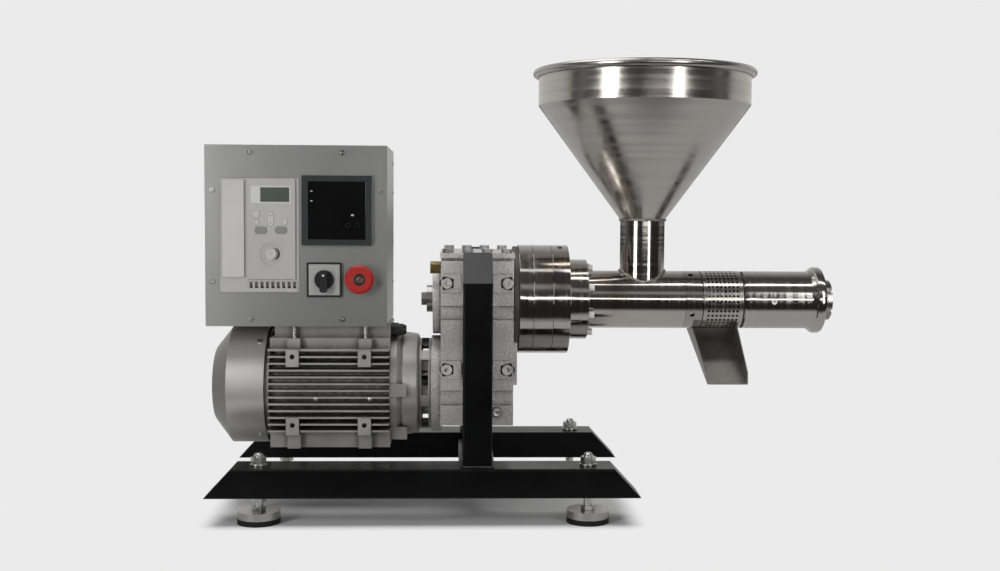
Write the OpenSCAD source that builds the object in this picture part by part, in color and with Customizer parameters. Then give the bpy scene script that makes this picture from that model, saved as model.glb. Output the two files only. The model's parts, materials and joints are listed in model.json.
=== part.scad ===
// Continuous cold screw press for oil seeds, standing level on its four feet.
// X runs along the press axis, with the nozzle at +X. Y = 0 is the middle plane, and the front is -Y.
// Z = 0 is the floor. The origin lies under the middle of the overall length.

/* [Base] */
// Width of a base rail
rail_w = 60; // [50:1:76]
// Height of a base rail
rail_h = 40; // [32:1:56]
// Wall of the rails and uprights
rail_wall = 3; // [2:0.5:5]
// Outer corner radius of the rails and uprights
rail_corner = 3; // [1:0.5:5]
// Length of a rail along its underside
rail_l = 588; // [540:1:700]
// How far a rail reaches to the right of the uprights' middle
rail_reach = 222; // [200:1:260]
// Length of the mitre at each end of a rail
rail_mitre = 37; // [20:1:50]
// Clear width between the two rails
rail_gap = 216; // [212:1:260]
// Height of the rails' underside above the floor
ground_clearance = 38.5; // [34:0.5:60]
// Side of the square uprights
upright_w = 40; // [34:1:50]
// Height of the uprights' front faces above the rails
upright_h = 249; // [225:1:260]

/* [Feet] */
// Distance of a foot from the tip of its rail
foot_inset = 70; // [56:1:100]
// Radius of a foot
foot_r = 29; // [22:1:32]
// Thickness of the rubber pad
rubber_t = 7.5; // [5:0.5:9]
// Thickness of the steel disc
disc_t = 10; // [8:0.5:11]
// Radius of the threaded stud
stud_r = 6; // [5:0.5:8]
// How far the stud reaches above the rail
stud_reach = 17; // [15:0.5:30]

/* [Motor] */
// Height of the motor axis above the floor
motor_z = 172; // [165:1:180]
// Length of the finned frame
frame_l = 169; // [150:1:200]
// Outer radius of the frame's round shell
frame_r = 70; // [68:0.5:73]
// Bore radius of the frame
frame_bore_r = 62; // [58:0.5:64]
// Reach of the side fins from the motor axis
fin_reach = 85; // [80:0.5:88]
// Distance between fins
fin_pitch = 9.5; // [9:0.1:11]
// Thickness of a fin
fin_t = 2.6; // [2:0.1:4]
// Outer radius of the fan cowl
cowl_r = 85.5; // [84:0.5:88]
// Length of the fan cowl
cowl_l = 77; // [70:1:90]
// Sheet thickness of the fan cowl
cowl_t = 1.6; // [1:0.1:2.5]
// Spacing of the foot pad holes along the motor
pad_hole_dx = 100; // [90:1:110]
// Spacing of the foot pad holes in height
pad_hole_dz = 96; // [90:1:100]
// Radius of the tapped foot pad holes
pad_hole_r = 3.4; // [2.5:0.1:4.2]
// Reach of the foot pads from the motor axis
pad_reach = 88; // [87:0.5:92]

/* [Gearbox] */
// Length of the gear case along the press axis
case_l = 101; // [97:1:110]
// Width of the gear case
case_w = 200; // [190:1:204]
// Wall of the gear case
case_wall = 12; // [11:0.5:14]
// Height of the press axis above the floor
press_z = 296; // [293:0.5:298]
// Top of the gear case above the press axis
case_rise = 62.5; // [62:0.5:70]
// Bottom of the gear case below the motor axis
case_drop = 46; // [44:1:50]
// Thickness of the top cover
cover_t = 7.5; // [6:0.5:10]
// Radius of the input flange
input_flange_r = 70; // [66:0.5:72]
// Teeth of the input pinion
input_teeth = 17; // [15:1:19]
// Teeth of the gear that the input pinion drives
lay_teeth = 61; // [57:1:63]
// Module of the first stage
module_1 = 1.5; // [1.4:0.05:1.55]
// Teeth of the layshaft's pinion
pinion_teeth = 17; // [16:1:18]
// Teeth of the output gear
output_teeth = 58; // [56:1:58]
// Module of the second stage
module_2 = 2; // [1.95:0.01:2]

/* [Press] */
// Radius of the adapter ring
adapter_r = 77; // [74:0.5:80]
// Thickness of the adapter ring
adapter_t = 8; // [7:0.5:12]
// Radius of the thrust plates
plate_r = 79; // [72:0.5:84]
// Thickness of the first, second and third thrust plate
plate_t = [20, 27.5, 24.5]; // [16:0.5:34]
// Radius of the barrel's flange
flange_r = 58.2; // [54:0.2:66]
// Thickness of the barrel's flange
flange_t = 27.5; // [22:0.5:32]
// Outer radius of the barrel
barrel_r = 42; // [40:0.5:46]
// Bore radius of the barrel, strainer and head
bore_r = 33; // [31:0.5:34]
// Length of the barrel between its flange and the locking ring
barrel_l = 142; // [132:1:170]
// Length of the locking ring
ring_l = 25; // [22:1:32]
// Length of the strainer
strainer_l = 61; // [58:1:80]
// Number of holes round the strainer
strainer_rows = 36; // [18:1:36]
// Number of holes along the strainer
strainer_cols = 8; // [4:1:8]
// Distance between holes along the strainer
strainer_pitch = 6; // [5.5:0.25:6.25]
// Radius of a strainer hole
strainer_hole_r = 1.75; // [1:0.25:2]
// Length of the press head
head_l = 102.5; // [90:0.5:120]
// Radius of the press head's rim
rim_r = 48.4; // [46:0.2:54]
// Length of the press head's rim
rim_l = 14; // [10:0.5:18]
// Outer radius of the nozzle
nozzle_r = 29.4; // [24:0.2:32]
// Length of the nozzle outside the press head
nozzle_l = 13; // [9:0.5:18]
// Radius of the cake outlet
outlet_r = 8; // [4:0.5:10]

/* [Hopper and chute] */
// Place of the spout, from the left end of the barrel's free length
spout_at = 83; // [70:0.5:95]
// Outer radius of the spout tube
spout_r = 32.3; // [30:0.1:34]
// Height of the cone's foot above the press axis
cone_z = 116.5; // [90:0.5:140]
// Height of the cone
cone_h = 165; // [130:1:190]
// Height of the hopper's upright band
band_h = 46.5; // [30:0.5:70]
// Outer radius of the hopper's band
band_r = 153.5; // [130:0.5:170]
// Radius of the hopper's rolled rim
bead_r = 5.5; // [3.5:0.5:7]
// Sheet thickness of the hopper, spout and chute
sheet_t = 1.5; // [1:0.1:2.5]
// Width of the chute at its top
chute_top_w = 68; // [60:1:76]
// Width of the chute at its mouth
chute_mouth_w = 60; // [50:0.5:66]
// Height of the chute
chute_h = 77; // [60:1:110]

/* [Cabinet] */
// Width and height of the control cabinet
cab_w = 250; // [244:1:264]
// Depth of the control cabinet
cab_d = 172; // [160:1:190]
// Sheet thickness of the cabinet
cab_t = 2; // [1.2:0.1:3]
// Place of the cabinet's front face in front of the middle plane
cab_front = 92; // [88:1:100]
// Height of the cabinet's underside above the motor axis
cab_rise = 91; // [90:0.5:100]
// Travel of a drive key
key_travel = 0.8; // [0.4:0.1:1.2]
// Travel of the emergency stop button
estop_travel = 5; // [3:0.5:6]
// Radius of the emergency stop button
estop_r = 20; // [16:0.5:21]

/* [Hidden] */
$fn = 64;

// How far every cut runs past the face that it opens
over = 1;
// Clearance between parts that seat in each other
seat = 0.02;
// Radial clearance of a running fit
run = 0.05;
// Gap between parts that stand face to face
seam = 0.3;

// Lengths along the press axis between motor and gear case
input_flange_t = 14;
lantern_l = 18;
motor_flange_t = 22;
shield_l = 18;
rear_rim_l = 6;
cab_gap = 74.5;

// Lengths along the press axis right of the gear case
boss_t = 2;
neck_l = 1.5;
plates_l = plate_t[0] + plate_t[1] + plate_t[2];

// The chain of lengths sets where everything lies along X
motor_l = input_flange_t + lantern_l + motor_flange_t + shield_l + frame_l + rear_rim_l + cowl_l;
left_reach = max(motor_l, cab_gap + cab_w);
barrel_at = case_l + boss_t + adapter_t + plates_l + flange_t;
right_reach = barrel_at + barrel_l + ring_l + strainer_l + neck_l + head_l + rim_l + nozzle_l;
case_x = (left_reach - right_reach) / 2;
case_mid_x = case_x + case_l / 2;
lantern_x = case_x - input_flange_t - lantern_l;
flange_x = lantern_x - motor_flange_t;
shield_x = flange_x - shield_l;
frame_x = shield_x - frame_l;
rear_x = frame_x - rear_rim_l;
cowl_x = rear_x - cowl_l;
adapter_x = case_x + case_l + boss_t;
plate_x = [
    adapter_x + adapter_t,
    adapter_x + adapter_t + plate_t[0],
    adapter_x + adapter_t + plate_t[0] + plate_t[1],
];
flange_at_x = adapter_x + adapter_t + plates_l;
barrel_x = flange_at_x + flange_t;
ring_x = barrel_x + barrel_l;
strainer_x = ring_x + ring_l;
neck_x = strainer_x + strainer_l;
head_x = neck_x + neck_l;
rim_x = head_x + head_l;
nozzle_x = rim_x + rim_l;
spout_x = barrel_x + spout_at;

// Heights and places across
rail_y = (rail_gap + rail_w) / 2;
rail_top = ground_clearance + rail_h;
rail_tip = rail_reach - rail_l;
case_bottom = motor_z - case_drop;
case_top = press_z + case_rise;
case_face = case_w / 2;
cab_x = case_x - cab_gap - cab_w;
cab_z = motor_z + cab_rise;
cab_y = -cab_front;

// Places of the four feet, as shifts from the uprights' middle
foot_x = [rail_tip + foot_inset, rail_reach - foot_inset];
foot_places = [
    [case_mid_x + foot_x[0], -rail_y], [case_mid_x + foot_x[1], -rail_y],
    [case_mid_x + foot_x[0], rail_y], [case_mid_x + foot_x[1], rail_y],
];

// Feet and their hardware
stud_hex_r = 9.6;
stud_hex_h = 5.6;
ball_r = 5;
ball_seat = 7;
washer_r = 12;
washer_t = 2.5;
nut_r = 10.7;
nut_h = 9.5;
thread_play = 0.5;
cross_tube_w = 50;

// Spacers between the uprights and the gear case
spacer_w = 34;
spacer_h = 110;
spacer_drop = 115;

// Motor details
fin_count = 6;
fin_root = 40;
end_fin_reach = [72, 84];
end_fin_count = 4;
end_fin_root = 56;
band_y = [50, 60];
band_root = fin_count * fin_pitch;
shell_wall = frame_r - frame_bore_r;
pad_w = 18;
pad_above = 10;
pad_below = 14;
pad_mid = shield_x - frame_l / 2;
pad_hole_depth = 16;
end_pad_y = 60;
end_pad_t = 20;
terminal_gap = 6;
terminal_w = frame_l - terminal_gap;
terminal_d = 104;
stud_bolt_r = 3;
stator_end = 36.5;
stator_l = frame_l - 2 * stator_end;
stator_bore_r = 38.4;
rotor_r = 38;
winding_t = 16;
winding_r = [42, 58];
shaft_r = 12;
motor_bearing = [12.5, 26, 15];
shield_wall = 8;
shield_lugs = [[71, 0], [45, -65]];
cowl_chamfer = 24.5;
cowl_end_r = 54;
cowl_lap = 16;
cowl_lug_r = 75;
slot_r = [16, 48];
slot_w = 3.2;
slot_count = 24;
fan_r = 72;
fan_hub_r = 18;
fan_t = 24;
fan_blades = 9;
blade_t = 2.4;
fan_plate_t = 3;
cowl_screw_z = 66;
cowl_screw_in = 9;

// Lantern and coupling
lantern_r = [56, 66];
lantern_bars = 6;
lantern_bar_w = 16;
lantern_rim = 4;
hub_r = 20;
hub_l = 15;
jaw_l = 8;
jaw_r = 13;
jaws = 3;
jaw_share = 0.34;
spider_gap_share = 0.36;
jaw_play = 0.25;
spider_bore_r = 7;

// Gear case details
small_bearing = [10, 23.5, 14];
big_bearing = [22.5, 37.5, 16];
boss_wall = 7;
boss_in = 6;
output_boss_r = 60;
end_seat_t = 2.5;
end_cover_r = 51;
end_cover_t = 10;
face_step = 4;
panel_zones = [[0, 28], [49, 70], [88, 147], [167, 229]];
panel_edge = 7;
case_bolt_in = 8.5;
case_bolt_z = [78, 198];
case_pocket_r = 10.5;
case_pocket_depth = 5;
socket_head_r = 7.3;
socket_head_h = 8;
lug_l = 5;
lug_w = 40;
lug_z = [57, 115];
cover_lip = 1.5;
cover_bolt_inset = 12;
cover_bolt_pitch = 27;
cover_bolts = 4;
hex_head_r = 7.5;
hex_head_h = 5.6;
hex_thread_r = 4;
hex_thread_l = 10;
gear_in = 4;
gear_gap = 8;
gear_out = 11;
gear_1_x = case_wall + boss_in + gear_in;
gear_1_t = 14;
gear_2_x = gear_1_x + gear_1_t + gear_gap;
gear_2_t = case_l - case_wall - boss_in - gear_out - gear_2_x;
gear_side = 1;
pressure_angle = 20;
addendum_share = 0.95;
dedendum_share = 1.25;
backlash_deg = 0.25;
lay_shaft_r = 12;
gear_hub_r = 20;
gear_web_share = 0.45;
gear_seat_r = 24;
gear_boss_r = 34;
web_hole_r = 7;
web_holes = 6;
shaft_end_r = 20;
end_disc_t = 8;
end_disc_r = 19.7;
end_hex_r = 10.5;
end_hex_h = 8;
end_bolt_r = 6;
end_bolt_l = 26;
socket_hex_r = 14;
socket_hex_l = 24;
seal_t = 7;
plug_r = 8.7;
plug_l = 13;
plug_thread_r = 5;
plug_y = 60;
plug_drop = 5.5;
level_plug = [78.5, 19];
level_plug_r = 7;
level_plug_h = 5;

// Press details
shank_r = 25;
collar_r = 36;
collar_t = 8;
thrust_ring = [25, 44.5];
thrust_depth = 1;
plate_bore_r = 32;
flange_screws = 8;
flange_screw_r = 5;
flange_thread_r = 3;
flange_screw_h = 8;
flange_screw_pcr = 50;
flange_bore_r = 26;
feed_hole_r = 27;
ring_play = 0.1;
thread_r = 38;
ring_hole_r = 3.6;
ring_holes = 4;
ring_hole_turn = 28;
strainer_first = 8.25;
screw_r = 32.4;
screw_root_r = [20, 23, 27];
screw_pitch = 34;
flight_t = 7;
flight_steps = 18;
screw_tip_l = 20;
head_end_wall = 14;
head_line = [6, 19];
line_w = 0.8;
line_depth = 0.4;
nozzle_thread_r = 24;
nozzle_slots = 6;
nozzle_slot = [6, 5];
neck_r = 39;
set_screw_at = 40.5;
set_screw_r = 4;
set_screw_depth = 5;

// Hopper and chute details
neck_weld = 1.2;
chute_at = 14.5;
chute_left_run = 19;
chute_back_y = 38;
chute_mouth_y = -34;
chute_lip = 18;
chute_drop = 1.5;

// Cabinet details
cab_lip = 16;
cab_screw_in = 10;
cab_screw_corner = 62;
cab_screw_r = 3.5;
cab_screw_h = 2;
cab_screw_shank_r = 1.9;
cab_screw_shank_l = 6;
hole_play = 0.3;
drive_window = [20, 47, 109, 158];
drive_face = [58.4, 65.4, 65.5, 138];
drive_side = [23.7, 68, 30.5, 134.5];
drive_strip = [59.4, 48, 67, 16.5];
drive_proud = 3;
side_proud = 1;
strip_proud = 1.5;
drive_depth = 120;
terminals = 9;
terminal_pit = [4.6, 9, 5];
lcd = [76.4, 171.8, 39.7, 20];
window_t = 1.2;
key_proud = 0.8;
key_body = 3;
key_play = 0.25;
key_square = 9;
key_round_r = 3.75;
key_oval = [16.5, 9.6];
oval_share = 0.45;
arrow_size = [8, 18];
arrow_share = 0.4;
menu_at = [70.6, 155.2];
local_at = [71.1, 143.5];
enter_at = [109.9, 144.1];
start_at = [77.1, 132.8];
stop_at = [104.5, 133];
arrow_at = [90.4, 148.4];
dial_at = [91.1, 100.5];
dial_r = 15.5;
dial_depth = 1;
pot_r = 7.5;
pot_h = 6;
pot_stem_r = 3;
pot_stem_l = 8;
ctl_mid = [181, 160.5];
ctl_w = 96;
ctl_proud = 6;
ctl_body_w = 91;
ctl_depth = 70;
ctl_glass_w = 80;
switch_mid = [163.5, 65];
switch_frame_w = 48;
switch_frame_t = 4;
switch_plate_t = 1;
switch_plate_w = 43;
switch_hole_r = 5;
knob_r = 13;
knob_t = 5;
grip_w = 10;
grip_l = 30;
grip_h = 14;
knob_stem_r = 4;
knob_stem_l = 18;
estop_mid = [212.9, 66.5];
estop_t = 12;
estop_edge = 3;
estop_stem_r = 7;
estop_stem_l = 22;
estop_collar_r = 15;
estop_collar_t = 3;
panel_hole_r = 11;
block_w = 36;
block_l = 40;
gland_y = -34;
gland_z = -9.5;
gland_r = 10;
gland_l = 22;
gland_body_r = 8.6;
gland_tip_r = 6;
gland_bore_r = 4.5;

// Stage distances and the layshaft's place between the two fixed axes
centre_1 = module_1 * (input_teeth + lay_teeth) / 2;
centre_2 = module_2 * (pinion_teeth + output_teeth) / 2;
centre_all = press_z - motor_z;
lay_drop = (centre_2 * centre_2 - centre_1 * centre_1 + centre_all * centre_all) / (2 * centre_all);
lay_y = sqrt(centre_2 * centre_2 - lay_drop * lay_drop);
lay_z = press_z - lay_drop;
to_output = atan2(press_z - lay_z, -lay_y);
to_input = atan2(motor_z - lay_z, -lay_y);

// Views and small helpers

module side_view(x, y, z) {
    translate([x, y, z]) rotate([90, 0, 90]) children();
}

module along_x(x, y, z) {
    translate([x, y, z]) rotate([0, 90, 0]) children();
}

module tube(r_out, r_in, h) {
    difference() {
        cylinder(r = r_out, h = h);
        translate([0, 0, -over]) cylinder(r = r_in, h = h + 2 * over);
    }
}

module round_box(w, h, r) {
    translate([r, r]) offset(r = r, $fn = 24) square([w - 2 * r, h - 2 * r]);
}

module round_mid(w, h, r) {
    translate([-w / 2, -h / 2]) round_box(w, h, r);
}

module hex(r, h) {
    cylinder(r = r, h = h, $fn = 6);
}

module ring_of(n, turn = 0) {
    for (i = [0 : n - 1]) rotate([0, 0, turn + 360 * i / n]) children();
}

module socket_screw(r, h, shank_r, shank_l) {
    difference() {
        cylinder(r = r, h = h);
        translate([0, 0, h / 2]) hex(r / 2, h);
    }
    translate([0, 0, -shank_l]) cylinder(r = shank_r, h = shank_l + h / 4);
}

module on_cabinet(place, y = 0) {
    translate([cab_x + place[0], cab_y + y, cab_z + place[1]]) rotate([90, 0, 0]) children();
}

// Spur gear outline from the involute of its base circle
function inv_deg(a) = tan(a) * 180 / PI - a;
function half_tooth(r, r_pitch, teeth) =
    90 / teeth - backlash_deg + inv_deg(pressure_angle)
    - inv_deg(acos(min(1, r_pitch * cos(pressure_angle) / r)));
function gear_radii(m, teeth) = let(
    r_pitch = m * teeth / 2,
    r_root = r_pitch - dedendum_share * m,
    r_tip = r_pitch + addendum_share * m,
    r_base = r_pitch * cos(pressure_angle)
) [r_root, max(r_base, (r_root + r_pitch) / 2), (r_pitch + r_tip) / 2, r_tip];
function gear_outline(m, teeth) = let(
    radii = gear_radii(m, teeth),
    r_pitch = m * teeth / 2,
    r_base = r_pitch * cos(pressure_angle),
    last = 2 * len(radii) - 1
) [
    for (i = [0 : teeth - 1], k = [0 : last])
        let(
            left = k < len(radii),
            r = radii[left ? k : last - k],
            a = 360 * i / teeth + (left ? -1 : 1) * half_tooth(max(r, r_base), r_pitch, teeth)
        )
        [r * cos(a), r * sin(a)]
];

module spur_gear(m, teeth, t, turn) {
    rotate([0, 0, turn]) linear_extrude(t) polygon(gear_outline(m, teeth));
}

// Base

module rail() {
    underside = [[rail_tip, 0], [rail_reach, 0]];
    top = [[rail_reach - rail_mitre, rail_h], [rail_tip + rail_mitre, rail_h]];
    intersection() {
        rotate([90, 0, 90]) translate([0, 0, rail_tip])
            linear_extrude(rail_l) translate([-rail_w / 2, 0]) round_box(rail_w, rail_h, rail_corner);
        rotate([90, 0, 0]) translate([0, 0, -rail_w]) linear_extrude(2 * rail_w)
            polygon(concat(underside, top));
    }
}

module rail_hollow() {
    underside = [[rail_tip + 2 * rail_wall, rail_wall], [rail_reach - 2 * rail_wall, rail_wall]];
    inset = 2 * rail_wall + rail_mitre;
    top = [
        [rail_reach - inset, rail_h - rail_wall],
        [rail_tip + inset, rail_h - rail_wall],
    ];
    rotate([90, 0, 0]) translate([0, 0, rail_wall - rail_w / 2]) linear_extrude(rail_w - 2 * rail_wall)
        polygon(concat(underside, top));
}

module base_rails() color("#1b1c1e") {
    for (side = [-1, 1]) {
        translate([case_mid_x, side * rail_y, ground_clearance]) difference() {
            rail();
            rail_hollow();
            for (x = foot_x) translate([x, 0, -over]) cylinder(r = stud_r + thread_play, h = rail_h + 2 * over);
        }
    }
    translate([case_mid_x - cross_tube_w / 2, -rail_gap / 2, ground_clearance + rail_h / 5])
        cube([cross_tube_w, rail_gap, rail_h * 3 / 5]);
}

module upright() {
    difference() {
        linear_extrude(upright_h + upright_w) round_mid(upright_w, upright_w, rail_corner);
        translate([0, 0, -over]) linear_extrude(upright_h + over - rail_wall)
            square(upright_w - 2 * rail_wall, center = true);
        translate([-upright_w, -upright_w / 2, upright_h]) rotate([45, 0, 0])
            cube([2 * upright_w, 2 * upright_w, 2 * upright_w]);
    }
}

module uprights() color("#202123") {
    translate([case_mid_x, -rail_y, rail_top]) upright();
    translate([case_mid_x, rail_y, rail_top]) upright();
    gap = rail_y - upright_w / 2 - case_face;
    for (side = [-1, 1])
        translate([case_mid_x - spacer_w / 2, side * (case_face + gap / 2) - gap / 2, press_z - spacer_drop])
            cube([spacer_w, gap, spacer_h]);
}

// Feet

module foot_rubbers() color("#151515") {
    for (p = foot_places) translate([p[0], p[1], 0]) cylinder(r = foot_r, h = rubber_t);
}

module foot_discs() color("#8e9092") {
    for (p = foot_places) translate([p[0], p[1], rubber_t]) difference() {
        cylinder(r = foot_r, h = disc_t);
        translate([0, 0, disc_t - ball_seat]) cylinder(r = ball_r + run, h = ball_seat + over);
    }
}

module foot_stud(i) color("#a9abad") {
    top = rail_top + stud_reach;
    hex_z = rubber_t + disc_t + seam;
    translate([foot_places[i][0], foot_places[i][1], 0]) {
        translate([0, 0, hex_z - ball_seat]) cylinder(r = ball_r, h = ball_seat + over);
        translate([0, 0, hex_z]) hex(stud_hex_r, stud_hex_h);
        translate([0, 0, hex_z]) cylinder(r = stud_r, h = top - hex_z - stud_r / 3);
        translate([0, 0, top - stud_r / 3]) cylinder(r1 = stud_r, r2 = stud_r * 2 / 3, h = stud_r / 3);
    }
}

module foot_nut() {
    difference() {
        hex(nut_r, nut_h);
        translate([0, 0, -over]) cylinder(r = stud_r + run, h = nut_h + 2 * over);
    }
}

module foot_nuts() color("#a9abad") {
    for (p = foot_places) translate([p[0], p[1], rail_top]) {
        tube(washer_r, stud_r + thread_play, washer_t);
        translate([0, 0, washer_t]) foot_nut();
    }
    for (i = [0, 2])
        translate([foot_places[i][0], foot_places[i][1], ground_clearance - nut_h]) foot_nut();
}

// Motor

module fin_profile() {
    circle(r = frame_r);
    for (side = [-1, 1], k = [-fin_count : fin_count])
        translate([side > 0 ? fin_root : -fin_reach, k * fin_pitch - fin_t / 2])
            square([fin_reach - fin_root, fin_t]);
    for (up = [0, 1], k = [-end_fin_count : end_fin_count])
        translate([k * fin_pitch - fin_t / 2, up == 1 ? end_fin_root : -end_fin_reach[1]])
            square([fin_t, end_fin_reach[1 - up] - end_fin_root]);
    for (up = [0, 1], side = [-1, 1])
        translate([side > 0 ? band_y[0] : -band_y[1], up == 1 ? band_root : -end_fin_reach[1]])
            square([band_y[1] - band_y[0], end_fin_reach[1 - up] - band_root]);
}

module motor_pads() {
    for (x = [-pad_hole_dx / 2, pad_hole_dx / 2], side = [-1, 1]) {
        for (z = [-pad_hole_dz / 2, pad_hole_dz / 2])
            translate([pad_mid + x - pad_w / 2, side > 0 ? fin_root : -pad_reach, motor_z + z - pad_below])
                cube([pad_w, pad_reach - fin_root, pad_above + pad_below]);
        translate([pad_mid + x - pad_w / 2, side * end_pad_y - end_pad_t / 2, motor_z - end_fin_reach[1]])
            cube([pad_w, end_pad_t, end_fin_reach[1] - fin_root]);
        translate([pad_mid + x - pad_w / 2, side * end_pad_y - end_pad_t / 2, motor_z + fin_root])
            cube([pad_w, end_pad_t, end_fin_reach[0] - fin_root]);
    }
}

module motor_frame() color("#8f9192") {
    base_x = shield_x - terminal_w;
    difference() {
        union() {
            side_view(frame_x, 0, motor_z) linear_extrude(frame_l) fin_profile();
            motor_pads();
            translate([base_x, -terminal_d / 2, motor_z + fin_root])
                cube([terminal_w, terminal_d, cab_rise - fin_root]);
        }
        along_x(frame_x - over, 0, motor_z) cylinder(r = frame_bore_r, h = frame_l + 2 * over);
        for (x = [-pad_hole_dx / 2, pad_hole_dx / 2], z = [-pad_hole_dz / 2, pad_hole_dz / 2])
            for (side = [-1, 1])
                translate([pad_mid + x, side * (pad_reach - pad_hole_depth / 2 + over / 2), motor_z + z])
                    rotate([90, 0, 0])
                    cylinder(r = pad_hole_r, h = pad_hole_depth + over, center = true);
    }
}

module motor_stator() color("#6b4a2f") {
    along_x(frame_x + (frame_l - stator_l) / 2, 0, motor_z) {
        tube(frame_bore_r - seat, stator_bore_r, stator_l);
        translate([0, 0, -winding_t]) tube(winding_r[1], winding_r[0], winding_t + over);
        translate([0, 0, stator_l - over]) tube(winding_r[1], winding_r[0], winding_t + over);
    }
}

module motor_rotor() color("#8a8c8e") {
    fan_end = rear_x - shield_wall - fan_t - fan_plate_t;
    along_x(frame_x + (frame_l - stator_l) / 2, 0, motor_z) cylinder(r = rotor_r, h = stator_l);
    along_x(fan_end, 0, motor_z) cylinder(r = shaft_r, h = lantern_x + lantern_l / 2 - hub_l / 2 - fan_end);
    for (x = motor_bearing_x) along_x(x, 0, motor_z) cylinder(r = motor_bearing[0], h = motor_bearing[2]);
}

// Left faces of the two motor bearings
motor_bearing_x = [frame_x, shield_x - motor_bearing[2]];

// Spigot in the frame's bore and the hub round a motor bearing, both reaching from a shield's plate
module shield_rings(x) {
    h = motor_bearing[2] + over;
    along_x(x, 0, motor_z) {
        tube(frame_bore_r - seat, frame_bore_r - shell_wall, h);
        tube(motor_bearing[1] + shell_wall, motor_bearing[1] + seat, h);
    }
}

module motor_front_shield() color("#8f9192") {
    step = motor_flange_t / 8;
    outline = [
        [shaft_r + run + seat, 0], [frame_r + shell_wall, 0],
        [frame_r + shell_wall, shield_l / 2], [frame_r + step, shield_l - step],
        [frame_r + 2 * step, shield_l], [frame_r + step, shield_l + motor_flange_t - step],
        [frame_r, shield_l + motor_flange_t], [lantern_r[0], shield_l + motor_flange_t],
        [lantern_r[0], shield_l + motor_flange_t / 2], [motor_bearing[1], shield_wall],
        [shaft_r + run + seat, shield_wall],
    ];
    along_x(shield_x, 0, motor_z) rotate_extrude() polygon(outline);
    shield_rings(shield_x - motor_bearing[2]);
    for (place = shield_lugs, side = [-1, 1])
        translate([shield_x, side * place[0] - pad_w / 2, motor_z + place[1] - pad_w / 2])
            cube([shield_l + motor_flange_t / 4, pad_w, pad_w]);
}

module motor_rear_shield() color("#7f8182") {
    difference() {
        union() {
            along_x(rear_x, 0, motor_z) cylinder(r = fin_reach - rear_rim_l, h = rear_rim_l);
            intersection() {
                along_x(rear_x - cowl_lap, 0, motor_z)
                    tube(cowl_r - cowl_t - seat, cowl_lug_r, cowl_lap + over);
                for (a = [-1, 1]) side_view(rear_x - cowl_lap, 0, motor_z)
                    rotate([0, 0, a * asin(cowl_screw_z / cowl_r)])
                    translate([-cowl_r, -pad_w / 2, 0]) cube([2 * cowl_r, pad_w, cowl_lap + over]);
            }
        }
        along_x(rear_x - over, 0, motor_z) cylinder(r = shaft_r + run + seat, h = 2 * over + rear_rim_l);
        cowl_screw_places() translate([0, 0, -cowl_lap])
            cylinder(r = cab_screw_shank_r + seat, h = cowl_lap + over);
    }
    shield_rings(frame_x - over);
}

module fan_cowl() color("#8b8d8f") {
    outline = [
        [0, 0], [cowl_end_r, 0], [cowl_r, cowl_chamfer], [cowl_r, cowl_l],
        [cowl_r - cowl_t, cowl_l], [cowl_r - cowl_t, cowl_chamfer + cowl_t / 2],
        [cowl_end_r - cowl_t / 2, cowl_t], [0, cowl_t],
    ];
    difference() {
        along_x(cowl_x, 0, motor_z) difference() {
            rotate_extrude() polygon(outline);
            ring_of(slot_count) translate([slot_r[0], -slot_w / 2, -over])
                cube([slot_r[1] - slot_r[0], slot_w, cowl_t + 2 * over]);
        }
        cowl_screw_places() translate([0, 0, -2 * cowl_t])
            cylinder(r = cab_screw_shank_r + hole_play, h = 3 * cowl_t);
    }
}

// The four cowl screws, with the child's +Z pointing out of the cowl
module cowl_screw_places() {
    for (side = [0, 180], up = [-1, 1])
        side_view(cowl_x + cowl_l - cowl_screw_in, 0, motor_z)
            rotate([0, 0, side + up * asin(cowl_screw_z / cowl_r)])
            translate([cowl_r, 0, 0]) rotate([0, 90, 0]) children();
}

module motor_fan() color("#1d1d1d") {
    along_x(rear_x - shield_wall - fan_t, 0, motor_z) difference() {
        union() {
            cylinder(r = fan_hub_r, h = fan_t);
            cylinder(r = fan_r - fan_plate_t, h = fan_plate_t);
            ring_of(fan_blades) translate([fan_hub_r - blade_t, -blade_t / 2, 0])
                cube([fan_r - fan_hub_r, blade_t, fan_t]);
        }
        translate([0, 0, -over]) cylinder(r = shaft_r + seat, h = fan_t + 2 * over);
    }
}

// Coupling and lantern

module lantern() color("#909294") {
    along_x(lantern_x, 0, motor_z) difference() {
        tube(lantern_r[1], lantern_r[0], lantern_l);
        ring_of(lantern_bars, 90 / lantern_bars)
            translate([lantern_r[0] - over, -lantern_r[1] / 2 + lantern_bar_w / 2, lantern_rim])
            cube([lantern_r[1], lantern_r[1] - lantern_bar_w, lantern_l - 2 * lantern_rim]);
    }
}

// The spider sits between the hubs, in the middle of the lantern
spider_x = lantern_x + lantern_l / 2 - jaw_l / 2;

// A jaw is a sector of a ring, with a share of the angle that three jaws on each hub leave
module jaw(share, h, r_out = hub_r - jaw_play, r_in = jaw_r) {
    half = 180 / jaws * share;
    steps = 4;
    linear_extrude(h) polygon([
        for (i = [-steps : steps]) r_out * [cos(half * i / steps), sin(half * i / steps)],
        for (i = [-steps : steps]) r_in * [cos(half * i / steps), -sin(half * i / steps)],
    ]);
}

module coupling_hubs() color("#55585a") {
    h = jaw_l - jaw_play;
    side_view(spider_x - hub_l, 0, motor_z) {
        tube(hub_r, shaft_r + seat, hub_l);
        ring_of(jaws) translate([0, 0, hub_l - over]) jaw(jaw_share, h + over);
    }
    side_view(spider_x + jaw_l, 0, motor_z) {
        tube(hub_r, small_bearing[0] + seat, hub_l);
        ring_of(jaws, 180 / jaws) translate([0, 0, -h]) jaw(jaw_share, h + over);
    }
}

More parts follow.
